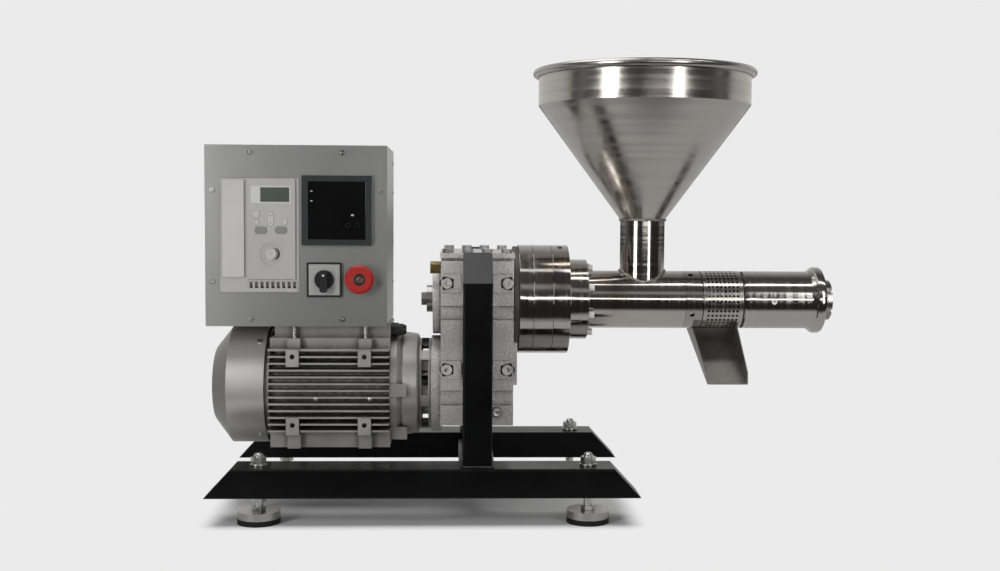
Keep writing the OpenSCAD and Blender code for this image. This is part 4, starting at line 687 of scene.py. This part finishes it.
dress(zinc, "hex_bolts", bevel=0.0003)
dress(zinc_dull, "socket_screws", bevel=0.0003)


def rounded(width, height, radius, steps=6):
    """Corner points of a rectangle with round corners, round its middle."""
    points = []
    for cx, cy, start in ((1, 1, 0), (-1, 1, 90), (-1, -1, 180), (1, -1, 270)):
        for k in range(steps + 1):
            a = radians(start + 90 * k / steps)
            points.append((cx * (width / 2 - radius) + radius * cos(a),
                           cy * (height / 2 - radius) + radius * sin(a)))
    return points


def plate(name, outline, thick, place, hole=None, ease=0.0):
    """A flat plate of that outline, with an optional hole of as many points, eased at its edges."""
    loops = [outline] + ([hole] if hole else [])
    points = [place @ Vector((x, y, z)) for z in (0.0, thick) for loop in loops for x, y in loop]
    rings = rings_of(2 * len(loops), len(outline))
    if hole:
        low, low_hole, high, high_hole = rings
        faces = joined([low, high, high_hole, low_hole, low])
    else:
        faces = between(*rings) + [tuple(rings[0]), tuple(rings[1])]
    piece = mesh_piece(name, points, faces, smooth=bool(ease))
    eased(piece, ease, 30, 35.0)
    return piece


# Raised cast pads round the four screws of each side, dark rings of painted shade on the floors of their pockets, and
# the head of the level plug
BOLT_XS, BOLT_ZS = (-0.114, -0.030), (0.204, 0.324)
PAD_W, PAD_H, PAD_T, POCKET_R = 0.0285, 0.0255, 0.0013, 0.0103
POCKET_DEPTH, SCREW_R = 0.005, 0.0074
PAD_SHIFT, DIRT_T, LEVEL_IN = PAD_W / 2 - 0.0082, 0.0002, 0.007
POCKET_SHADE = (0.035, 0.032, 0.029, 1)
pocket_shade = finish("pocket_shade", POCKET_SHADE, 0.6, tone=(0.3, 12.0, 0.2))
case_low, case_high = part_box("gear_case")
for side, face, depth, tilt in (("front", case_low.y, POCKET_DEPTH, 90), ("rear", case_high.y, -POCKET_DEPTH, -90)):
    for i, (x, shift) in enumerate(zip(BOLT_XS, (PAD_SHIFT, -PAD_SHIFT))):
        outline = rounded(PAD_W, PAD_H, 0.003)
        hole = [atan2(v, u + shift) for u, v in outline]
        hole = [(POCKET_R * cos(t) - shift, POCKET_R * sin(t)) for t in hole]
        for z in BOLT_ZS:
            name = "screw_%%s_%s_%d_%d" % (side, i + 1, round(z * 1000))
            place = facing(x + shift, face, z, degrees=tilt)
            pad = plate(name % "pad", outline, PAD_T, place, hole, ease=0.0006)
            dressed(pad, case_paint)
            # A thin near-black ring on each pocket floor round the screw: painted shade.
            floor = facing(x, face + depth, z, degrees=tilt)
            grime = plate(name % "grime", circle(POCKET_R, 28), DIRT_T, floor, circle(SCREW_R, 28))
            dressed(grime, pocket_shade)
plug_low, plug_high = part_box("oil_plugs")
level_at = (plug_high.x - LEVEL_IN, plug_low.y, plug_low.z + LEVEL_IN)
plug_outline = [(0, -0.0028), (0.0024, -0.0028), (0.0027, 0.0002), (0.0048, 0.0006), (0.0062, -0.0004),
                (0.0062, -0.002)]
dressed(creased(lathed("level_plug_head", plug_outline, facing(*level_at), sides=6)), zinc_dull)


# ---- Thrust stack and barrel
# A dark iron adapter, three polished round plates clamped by radial grub screws, and the feed barrel with
# its flange. Welding has tinted the steel straw and blue beside the spout and on the last plate.
POLISHED = (0.50, 0.472, 0.442, 1)
ADAPTER_IRON = (0.115, 0.108, 0.10, 1)
ADAPTER_WORN = (0.3, 0.29, 0.275, 1)
HARDENED = (0.30, 0.29, 0.275, 1)
WELD = (0.36, 0.335, 0.30, 1)
TINT_STRAW = (0.34, 0.25, 0.15, 1)
TINT_BLUE = (0.20, 0.20, 0.27, 1)
TINT_REACH = 0.024
PRESS_Z = 0.296
SPOUT_X = 0.171
SPOUT_R = 0.0323
BARREL_R = 0.042
PLATE_R = 0.079
SADDLE_R = 0.0024
GRUB_R = 0.0038


def heat_tint():
    """Colour bands of heated steel: straw, then blue, round a place, broken by noise."""
    group, takes, gives = effect_group(
        "heat_tint", {"Colour": POLISHED, "X": 0.0, "Y": 0.0, "Z": 0.0, "Reach": 0.02, "Stretch": 1.0}, ["Colour"])
    where = where_in(group)
    centre = add(group, "CombineXYZ", {0: takes["X"], 1: takes["Y"], 2: takes["Z"]}).outputs[0]
    spread = add(group, "CombineXYZ", {0: 1.0, 1: 1.0, 2: takes["Stretch"]}).outputs[0]
    off = vector(group, "MULTIPLY", vector(group, "SUBTRACT", where, centre), spread)
    wave = maths(group, "SUBTRACT", noise(group, where, 55.0, 4.0), 0.5)
    far = maths(group, "ADD", vector(group, "LENGTH", off, result="Value"), times(group, wave, 0.02))
    near = maths(group, "DIVIDE", far, takes["Reach"])
    straw = remap(group, near, 1.25, 0.8, 0.0, 0.45)
    blue = remap(group, near, 0.75, 0.4, 0.0, 0.55)
    straw_on = blended(group, straw, takes["Colour"], TINT_STRAW)
    feed(group, gives, {"Colour": blended(group, blue, straw_on, TINT_BLUE)})
    return group


HEAT = heat_tint()


def tinted(made, x, y, z, stretch):
    """Heat tint laid over a finish's own colour."""
    def change(tree, own):
        spot = {"Colour": own, "X": x, "Y": y, "Z": z, "Reach": TINT_REACH, "Stretch": stretch}
        return placed(tree, HEAT, spot)["Colour"]

    recoloured(made, change)


adapter_iron = finish(
    "adapter_iron", ADAPTER_IRON, 0.5, 0.5, tone=(0.25, 25.0, 0.2), grain=(420.0, 100.0), bump=0.35, depth=0.0008,
    edge=ADAPTER_WORN, edge_gain=0.5)
plate_steel = turned("polished_plate", POLISHED, 0.10, lines=1800.0, drift=0.05)
tinted(plate_steel, 0.0445, -0.062, PRESS_Z + 0.03, 0.6)
barrel_steel = turned("polished_barrel", POLISHED, 0.11, lines=2200.0, drift=0.05)
tinted(barrel_steel, SPOUT_X - SPOUT_R - 0.008, -0.026, PRESS_Z + 0.026, 0.55)
screw_steel = turned("hardened_screw", HARDENED, 0.24)
dress(adapter_iron, "adapter_ring", bevel=0.0008)
dress(plate_steel, "thrust_plates", bevel=0.0005)
dress(barrel_steel, "feed_barrel", bevel=0.0005)
dress(screw_steel, "press_screw")

# Grub screws in the rims of the plates, as (place along X, degrees round the axis from the front); all sit at the
# plates' rim radius
GRUB_SCREWS = [(-0.0015, -62.0), (0.0055, -62.0), (0.0225, -62.0), (0.0480, -62.0), (0.0480, 74.0)]


def grub_screw(name, x, degrees, rim_r, head_r=GRUB_R):
    """A socket set screw level with the rim: a chamfered ring with a round recess where its hexagonal socket is."""
    a = radians(degrees)
    outward = Vector((0, -cos(a), sin(a)))
    turn = Vector((0, 0, 1)).rotation_difference(outward).to_matrix().to_4x4()
    place = Matrix.Translation(Vector((x, 0, PRESS_Z)) + outward * (rim_r - 0.0002)) @ turn
    outline = [(0, -0.0012), (head_r * 0.45, -0.0012), (head_r * 0.5, 0.0006), (head_r * 0.8, 0.0011),
               (head_r, 0.0004), (head_r * 1.06, -0.0008), (head_r * 1.06, -0.002)]
    return creased(lathed(name, outline, place, sides=24))


for i, (x, degrees) in enumerate(GRUB_SCREWS):
    screw = grub_screw("plate_grub_screw_%d" % (i + 1), x, degrees, PLATE_R)
    dressed(screw, black_oxide)

# The saddle-shaped fillet where the spout tube is welded into the barrel
saddle = [Vector((SPOUT_X + x, y, PRESS_Z + sqrt(BARREL_R ** 2 - y ** 2) + SADDLE_R * 0.2))
          for x, y in circle(SPOUT_R, 260)]
weld_steel = finish("weld_steel", WELD, 0.3, 1.0, tone=(0.3, 90.0), grain=(900.0,), bump=0.25, rough_drift=0.08)
dressed(weld_bead("saddle_weld", saddle, SADDLE_R), weld_steel)


# ---- Locking ring, strainer, head and nozzle
# Turned steel: the ring and head have spanner holes, the strainer tube is drilled all round for the oil,
# and the nozzle nut is slotted. The head keeps the fine lines of its last cut.
STRAINER_WALL = 0.004
HOLE_R = 0.0019
HOLE_ROWS, HOLE_COLUMNS = 36, 8
HOLES_FROM_X, HOLE_PITCH = 0.2633, 0.00594
HOLE_SIDES = 16
GROOVES = (0.0012, 0.0026)
GROOVE_DEPTH = 0.0016
HOLE_DARK = (0.02, 0.018, 0.015, 1)
RING_GREY = (0.40, 0.378, 0.355, 1)
STRAINER_GREY = (0.46, 0.435, 0.41, 1)
HEAD_GREY = (0.49, 0.465, 0.44, 1)
NOZZLE_GREY = (0.30, 0.288, 0.272, 1)
BORE_SHADE = (0.004, 0.0036, 0.003, 1)

ring_steel = turned("ring_steel", RING_GREY, 0.13, lines=2000.0)
strainer_steel = turned("strainer_steel", STRAINER_GREY, 0.2, lines=3200.0)
head_steel = turned("head_steel", HEAD_GREY, 0.12, lines=1400.0, depth=0.00003)
nozzle_steel = turned("nozzle_steel", NOZZLE_GREY, 0.24)


def dark_below(tree, own):
    """Oil and shadow in whatever lies deeper round the press axis than the barrel's wall."""
    spot = axes(tree, where_in(tree))
    rise = maths(tree, "SUBTRACT", spot["Z"], PRESS_Z)
    squares = maths(tree, "ADD", times(tree, spot["Y"], spot["Y"]), times(tree, rise, rise))
    deep = remap(tree, maths(tree, "POWER", squares, 0.5), BARREL_R - 0.0012, BARREL_R - 0.0020)
    return blended(tree, deep, own, HOLE_DARK)


recoloured(ring_steel, dark_below)
dress(ring_steel, "locking_ring", bevel=0.0005)
dress(head_steel, "press_head", bevel=0.0005)
dress(nozzle_steel, "nozzle", bevel=0.0004)


def drilled_tube(name, x_low, x_high, radius, wall):
    """The strainer's wall with its round holes: each cell of the unrolled wall is a square with a round
    hole, and every hole has its own wall down to the bore. What lies inside takes the second finish."""
    shell = bmesh.new()
    cell = HOLE_PITCH / 2

    def at(x, a, r):
        return shell.verts.new((x, -r * cos(a), PRESS_Z + r * sin(a)))

    step = tau / HOLE_ROWS
    for row in range(HOLE_ROWS):
        a = row * step
        for column in range(HOLE_COLUMNS):
            x = HOLES_FROM_X + column * HOLE_PITCH
            rings = []
            for r in (radius, radius - wall):
                inner, outer = [], []
                for cx, cy in circle(1, HOLE_SIDES):
                    inner.append(at(x + HOLE_R * cx, a + HOLE_R * cy / radius, r))
                    far = 1 / max(abs(cx), abs(cy))
                    outer.append(at(x + cell * cx * far, a + step / 2 * cy * far, r))
                rings.append((inner, outer))
            for k in range(HOLE_SIDES):
                m = (k + 1) % HOLE_SIDES
                for depth, (inner, outer) in enumerate(rings):
                    shell.faces.new((inner[k], inner[m], outer[m], outer[k])).material_index = depth
                top, bottom = rings[0][0], rings[1][0]
                shell.faces.new((top[k], top[m], bottom[m], bottom[k])).material_index = 1
    first, last = HOLES_FROM_X - cell, HOLES_FROM_X + (HOLE_COLUMNS - 0.5) * HOLE_PITCH
    low = radius - GROOVE_DEPTH
    for start, groove, end in ((first, x_low + GROOVES[0], x_low), (last, x_high - GROOVES[1], x_high)):
        profile = [(start, radius), (groove, radius), (groove, low), (end, low), (end, radius - wall),
                   (start, radius - wall)]
        for part, (here, after) in enumerate(zip(profile, profile[1:])):
            for k in range(HOLE_ROWS * 4):
                a, b = k * step / 4, (k + 1) * step / 4
                corners = [at(x, turn, r) for (x, r), turn in ((here, a), (here, b), (after, b), (after, a))]
                shell.faces.new(corners).material_index = min(part, 1)
    bmesh.ops.remove_doubles(shell, verts=shell.verts, dist=1e-6)
    return creased(piece_from(bpy.data.meshes.new(name), shell), 30.0)


ring_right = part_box("locking_ring")[1].x
strainer = drilled_tube("drilled_strainer", ring_right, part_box("strainer")[1].x, BARREL_R, STRAINER_WALL)
dressed(strainer, strainer_steel)
# The hole walls and the bore take a near-black finish: painted shade inside the holes.
bore_shade = finish("bore_shade", BORE_SHADE, 0.6, tone=(0.3, 12.0, 0.2), grain=(700.0,), bump=0.1)
strainer.data.materials.append(bore_shade)
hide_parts("strainer")

# The head's set screw, sunk in its drilled seat near the middle of the front
SET_SCREW_X, SET_SCREW_R = 0.362, 0.0026
dressed(grub_screw("head_set_screw", SET_SCREW_X, 0.0, BARREL_R - 0.0016, SET_SCREW_R), black_oxide)


# ---- Hopper and spout
# Stainless sheet, rolled to a cone and a straight band, brushed round its axis, with the top edge rolled
# over a wire. The cone is welded to the polished spout tube.
SHEET = (0.50, 0.475, 0.445, 1)
CONE_FOOT_Z = PRESS_Z + 0.1165
NECK_BEAD_R = 0.0019


def brushed_lines():
    """Height and mask of brush lines that run round the spout's axis, level all the way."""
    numbers = {"X": 0.0, "Lines": 1700.0, "Length": 2.0}
    group, takes, gives = effect_group("brushed_lines", numbers, ("Height", "Mask"))
    spot = axes(group, where_in(group))
    side = maths(group, "SUBTRACT", spot["X"], takes["X"])
    turn = maths(group, "ARCTAN2", side, times(group, spot["Y"], -1.0))
    where = add(group, "CombineXYZ", {0: times(group, turn, takes["Length"]),
                                      1: times(group, spot["Z"], takes["Lines"])}).outputs[0]
    feed(group, gives, {"Height": noise(group, where, 1.0, 3.0, "2D"), "Mask": noise(group, where, 0.06, 2.0, "2D")})
    return group


BRUSHED = brushed_lines()
hopper_steel = lined("brushed_sheet", SHEET, 0.22, (0.05, 6.0, 0.02), BRUSHED, {"X": SPOUT_X}, 0.15, 0.00002)
spout_steel = turned("spout_steel", POLISHED, 0.12, along_x=0.0)
dress(hopper_steel, "hopper")
dress(spout_steel, "spout_tube", crease=40.0)
neck = [Vector((SPOUT_X + x, y, CONE_FOOT_Z)) for x, y in circle(SPOUT_R + NECK_BEAD_R * 0.3, 240)]
dressed(weld_bead("neck_weld", neck, NECK_BEAD_R), weld_steel)


# ---- Oil chute
# A folded stainless channel hangs under the strainer and leads the oil to the front. Its inside faces the
# floor's shadow; its cut edges are bright.
chute_steel = finish(
    "chute_sheet", (0.25, 0.236, 0.218, 1), 0.38, 0.9, tone=(0.22, 24.0, 0.06), grain=(260.0, 40.0, 0.6),
    bump=0.12, depth=0.0008, edge=(0.55, 0.53, 0.5, 1), edge_gain=0.7, rough_drift=0.1)
dress(chute_steel, "oil_chute", bevel=0.0003)


# ---- Cabinet
# Folded sheet steel with a screwed-on front cover, sprayed in a fine-textured grey. Pop rivets hold the
# mounting rail to its right side, and a nylon gland takes the motor lead in from below.
CABINET_PAINT = (0.40, 0.401, 0.397, 1)
COVER_SCREW_R, COVER_SCREW_H = 0.0038, 0.0024
CORNER_IN, EDGE_IN = 0.062, 0.010
RIVET_R = 0.0026
RIVET_Y = 0.060
RIVET_HEIGHTS = [0.4935, 0.4505, 0.3765, 0.3175]

cabinet_paint = finish(
    "cabinet_grey", CABINET_PAINT, 0.33, 0.85, tone=(0.05, 7.0, 0.07, 1100.0), grain=(1300.0, 420.0, 0.4),
    bump=0.28, depth=0.0003, edge=(0.42, 0.42, 0.415, 1), edge_gain=0.45, rough_drift=0.03)
dress(cabinet_paint, "cabinet_box", bevel=0.0007)
dress(cabinet_paint, "cabinet_cover")
nylon = finish(
    "black_nylon", (0.018, 0.018, 0.019, 1), 0.36, tone=(0.2,), grain=(900.0,), bump=0.1,
    edge=(0.05, 0.05, 0.05, 1))
dress(nylon, "cable_gland", bevel=0.0004)
dress(zinc, "pan_screws")

cabinet_low, cabinet_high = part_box("cabinet_cover")


def on_cover(a, b, proud=0.0):
    """A place on the cover, from its lower left corner, with local Z to the front."""
    return facing(cabinet_low.x + a, cabinet_low.y - proud, cabinet_low.z + b)


def cross_screw(name, place, radius, height):
    """A domed screw head with a cross recess, sunk where both arms of the cross pass."""
    sides, shares, points = 32, (0.0, 0.14, 0.3, 0.46, 0.6, 0.78, 0.93, 1.0, 1.0), []
    for ring, share in enumerate(shares):
        for x, y in circle(radius * share, sides, 0.5):
            z = height * sqrt(max(0.0, 1 - (share * 0.96) ** 2)) if ring < len(shares) - 1 else -0.0004
            if share < 0.62 and min(abs(x), abs(y)) < radius * 0.14:
                z -= height * 0.5 * (0.62 - share) / 0.62 + height * 0.12
            points.append(place @ Vector((x, y, z)))
    return creased(mesh_piece(name, points, joined(rings_of(len(shares), sides))), 40.0)


cover_w = cabinet_high.x - cabinet_low.x
cover_screws = []
for a in (CORNER_IN, cover_w - CORNER_IN):
    for b in (EDGE_IN, cover_w - EDGE_IN):
        cover_screws += [(a, b), (b, a)]
for i, (a, b) in enumerate(cover_screws):
    spun = Matrix.Rotation(0.7 * i, 4, "Z")
    head = cross_screw("cover_screw_head_%d" % (i + 1), on_cover(a, b) @ spun, COVER_SCREW_R, COVER_SCREW_H)
    dressed(head, zinc)
for i, z in enumerate(RIVET_HEIGHTS):
    dome = [(0, 0.0011), (RIVET_R * 0.45, 0.0010), (RIVET_R * 0.85, 0.0006), (RIVET_R, 0.0), (RIVET_R, -0.0006)]
    rivet = lathed("side_rivet_%d" % (i + 1), dome, facing(cabinet_high.x, RIVET_Y, z, "Y"), sides=20)
    dressed(rivet, black_oxide)


# ---- Frequency drive
# A drive in a light grey moulded housing stands through the cover: a ribbed side cover, a key panel with a
# display, and a strip of slotted terminal screws along its lower edge.
HOUSING = (0.372, 0.368, 0.345, 1)
SIDE_COVER = (0.45, 0.445, 0.425, 1)
KEY_LIGHT = (0.44, 0.437, 0.415, 1)
KEY_DARK = (0.205, 0.21, 0.20, 1)
PRINT_DARK = (0.03, 0.03, 0.03, 1)
LCD_GREEN = (0.078, 0.093, 0.085, 1)
DRIVE_SIDE = (0.0237, 0.068, 0.0305, 0.1345)
DRIVE_STRIP = (0.0594, 0.048, 0.067, 0.0165)
LCD = (0.0764, 0.1718, 0.0397, 0.020)
LCD_SURROUND = (0.0634, 0.1700, 0.0545, 0.0236)
ARROW_AT = (0.0904, 0.1484)
DIAL_AT = (0.0911, 0.1005)
SCALE_R = 0.0092
TERMINALS = 9
SHEET_LIP = 0.0003
FIT, LCD_CORNER = 0.0004, 0.0008
SURROUND_SILVER = (0.50, 0.50, 0.48, 1)


def moulded(name, colour, roughness=0.42, bump=0.1):
    return finish(name, colour, roughness, 0.0, (0.04, 20.0, 0.03), (1600.0, 300.0), bump, 0.0002, rough_drift=0.03)


housing_plastic = moulded("housing_plastic", HOUSING)
side_plastic = moulded("side_cover_plastic", SIDE_COVER, 0.38)
key_plastic = moulded("key_plastic", KEY_LIGHT, 0.35)
dark_key_plastic = moulded("dark_key_plastic", KEY_DARK, 0.35)
print_ink = moulded("print_ink", PRINT_DARK, 0.5)
dress(housing_plastic, "drive_body", bevel=0.0005)
dress(key_plastic, "menu_key", "local_key", "enter_key", "arrow_key", bevel=0.0004)
dress(dark_key_plastic, "start_key", "stop_key", bevel=0.0005)
dress(key_plastic, "pot_knob", bevel=0.0006)


def front_of(node):
    """How far a node stands out of the cover."""
    return cabinet_low.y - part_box(node)[0].y


def panel_plate(name, place, shrink, radius, thick, proud, **options):
    """A plate with round corners over an (x, y, width, height) of the cover, a little smaller than it."""
    x, y, w, h = place
    outline = rounded(w - shrink, h - shrink, radius)
    return plate(name, outline, thick, on_cover(x + w / 2, y + h / 2, proud), **options)


# The display: a light surround with the grey-green glass let into it
lcd_glass = finish("display_glass", LCD_GREEN, 0.12, tone=(0.08, 40.0, 0.02), coat_weight=0.6, coat_roughness=0.05)
lcd_piece = panel_plate("drive_display_glass", LCD, FIT, LCD_CORNER, 0.0012, 0.0018, ease=0.0002)
dressed(lcd_piece, lcd_glass)
dx, dy = (LCD[k] + LCD[k + 2] / 2 - LCD_SURROUND[k] - LCD_SURROUND[k + 2] / 2 for k in (0, 1))
opening = [(x + dx, y + dy) for x, y in rounded(LCD[2], LCD[3], LCD_CORNER)]
surround = panel_plate("drive_display_surround", LCD_SURROUND, 0, 0.0015, SHEET_LIP, 0.003, hole=opening)
surround_ink = moulded("surround_silver", SURROUND_SILVER, 0.3, bump=0.04)
dressed(surround, surround_ink)

# The tall side cover, as a flat plate; its moulded wave and the blank cap under it are not drawn
side_cover = panel_plate("drive_side_cover", DRIVE_SIDE, 2 * FIT, 0.0010, 0.0005, 0.0025, ease=0.0003)
dressed(side_cover, side_plastic)

# Printed arrows on the rocker key and the tapering scale round the knob
key_front = front_of("arrow_key")
for label, lift_b, way in (("up", 0.0048, 1), ("down", -0.0048, -1)):
    triangle = [(-0.0011, -0.0009 * way), (0.0011, -0.0009 * way), (0, 0.0011 * way)]
    place = on_cover(ARROW_AT[0], ARROW_AT[1] + lift_b, key_front)
    arrow = plate("arrow_%s_print" % label, triangle, 0.00008, place)
    dressed(arrow, print_ink, body_of(nodes["arrow_key"])[0])

scale_inner, scale_outer = [], []
for k in range(25):
    t = radians(-58 + 116 * k / 24)
    wide = 0.0002 + 0.0022 * sin(radians(180 * k / 24)) ** 0.6
    for side, r in ((scale_inner, SCALE_R), (scale_outer, SCALE_R + wide)):
        side.append((r * cos(t), r * sin(t)))
scale_points = scale_inner + scale_outer[::-1]
dial_scale = plate("dial_scale", scale_points, 0.00008, on_cover(*DIAL_AT, 0.002))
dressed(dial_scale, print_ink)

# Terminal screws, each in its pit, as plain round heads; their slots are not cut
pit_step = DRIVE_STRIP[2] / TERMINALS
for i in range(TERMINALS):
    place = on_cover(DRIVE_STRIP[0] + (i + 0.5) * pit_step, DRIVE_STRIP[1] + 0.0052, 0.0)
    head = lathed("terminal_screw_%d" % (i + 1), [(0, 0.0002), (0.0016, 0.0002), (0.0020, -0.0003), (0.0020, -0.002)],
                  place, sides=16)
    dressed(creased(head), black_oxide)


# ---- Temperature controller
# A square panel instrument: dark grey moulded bezel round a black glass. Two small lamps and one more light
# up behind the glass, and two keys show as faint rings.
BEZEL = (0.024, 0.025, 0.026, 1)
GLASS = (0.0035, 0.0035, 0.004, 1)
CONTROLLER_MID = (0.181, 0.1605)
CONTROLLER_GLASS_W = 0.080
CONTROLLER_PROUD = 0.006
LAMP_WHITE = (0.42, 0.42, 0.40, 1)
HANDLE_BLACK = (0.012, 0.012, 0.013, 1)
LAMPS = [(-0.0345, 0.0265, 0.0030, 0.0014), (-0.0345, 0.0130, 0.0030, 0.0014), (0.0217, -0.0062, 0.0042, 0.0024)]
RING_KEYS = [(0.0155, -0.0200), (0.0280, -0.0200)]

bezel_plastic = moulded("bezel_plastic", BEZEL, 0.34)
dress(bezel_plastic, "controller_body", bevel=0.0008)
black_glass = finish("black_glass", GLASS, 0.08, tone=(0.15, 30.0, 0.05), coat_weight=0.5, coat_roughness=0.03)
glass_w = CONTROLLER_GLASS_W - FIT
place = on_cover(*CONTROLLER_MID, CONTROLLER_PROUD - 0.0013)
glass = plate("controller_glass", rounded(glass_w, glass_w, 0.0008), 0.0012, place, ease=0.0003)
dressed(glass, black_glass)
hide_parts("display_windows")
lamp_print = moulded("lamp_print", LAMP_WHITE, 0.4)
ring_print = moulded("ring_print", HANDLE_BLACK, 0.4)


def printed_behind(name, i, x, y, outline, hole=None):
    """A print just behind the controller's glass."""
    place = on_cover(CONTROLLER_MID[0] + x, CONTROLLER_MID[1] + y, CONTROLLER_PROUD - 0.0001)
    return plate("controller_%s_%d" % (name, i + 1), outline, 0.00006, place, hole)


for i, (x, y, w, h) in enumerate(LAMPS):
    dressed(printed_behind("lamp", i, x, y, rounded(w, h, h * 0.4)), lamp_print)
for i, (x, y) in enumerate(RING_KEYS):
    outer, inner = rounded(0.0066, 0.0066, 0.0033), rounded(0.0058, 0.0058, 0.0029)
    dressed(printed_behind("key_ring", i, x, y, outer, inner), ring_print)


# ---- Main switch and emergency stop
# A cam switch with a black frame round a brushed aluminium plate and a black handle; beside it a red
# mushroom button with a dark sunken centre.
SWITCH_MID = (0.1635, 0.065)
SWITCH_PLATE_W = 0.0426
PLATE_SILVER = (0.42, 0.42, 0.415, 1)
STOP_RED = (0.33, 0.018, 0.013, 1)
DOT_WHITE = (0.62, 0.62, 0.6, 1)
CORE_GREEN = (0.035, 0.06, 0.05, 1)
STOP_MID = (0.2129, 0.0665)

knob_plastic = moulded("handle_plastic", HANDLE_BLACK, 0.36)
red_plastic = moulded("stop_red", STOP_RED, 0.3, bump=0.05)
dress(knob_plastic, "switch_plate", bevel=0.0006)
dress(knob_plastic, "switch_knob", bevel=0.0010)
dress(red_plastic, "estop_button", bevel=0.0006)
dress(knob_plastic, "switch_bodies")

plate_alloy = finish(
    "switch_plate_alloy", PLATE_SILVER, 0.42, 0.5, tone=(0.04,), grain=(1800.0,), bump=0.08, depth=0.0001)
plate_hole = rounded(0.0272, 0.0272, 0.0136)
silver = plate("switch_face_plate", rounded(SWITCH_PLATE_W, SWITCH_PLATE_W, 0.0012), 0.0004,
               on_cover(*SWITCH_MID, 0.003), hole=plate_hole)
dressed(silver, plate_alloy)

knob_front = front_of("switch_knob")
white_dot = lathed("switch_knob_dot", [(0, 0.0001), (0.0015, 0.0001), (0.0017, -0.0004)],
                   on_cover(SWITCH_MID[0], SWITCH_MID[1] + 0.0065, knob_front), sides=20)
white_print = moulded("white_print", DOT_WHITE, 0.4)
dressed(creased(white_dot), white_print, body_of(nodes["switch_knob"])[0])

stop_place, stop_body = on_cover(*STOP_MID, front_of("estop_button")), body_of(nodes["estop_button"])[0]
stop_ring = lathed("stop_centre_ring",
                   [(0.0040, -0.0002), (0.0046, 0.0002), (0.0078, 0.0002), (0.0085, -0.0001), (0.0085, -0.0005)],
                   stop_place, sides=48)
dressed(creased(stop_ring), knob_plastic, stop_body)
stop_core = lathed("stop_centre_disc", [(0, 0.0002), (0.0034, 0.0001), (0.0041, -0.0003)], stop_place, sides=32)
core_plastic = moulded("stop_core_plastic", CORE_GREEN, 0.35)
dressed(creased(stop_core), core_plastic, stop_body)
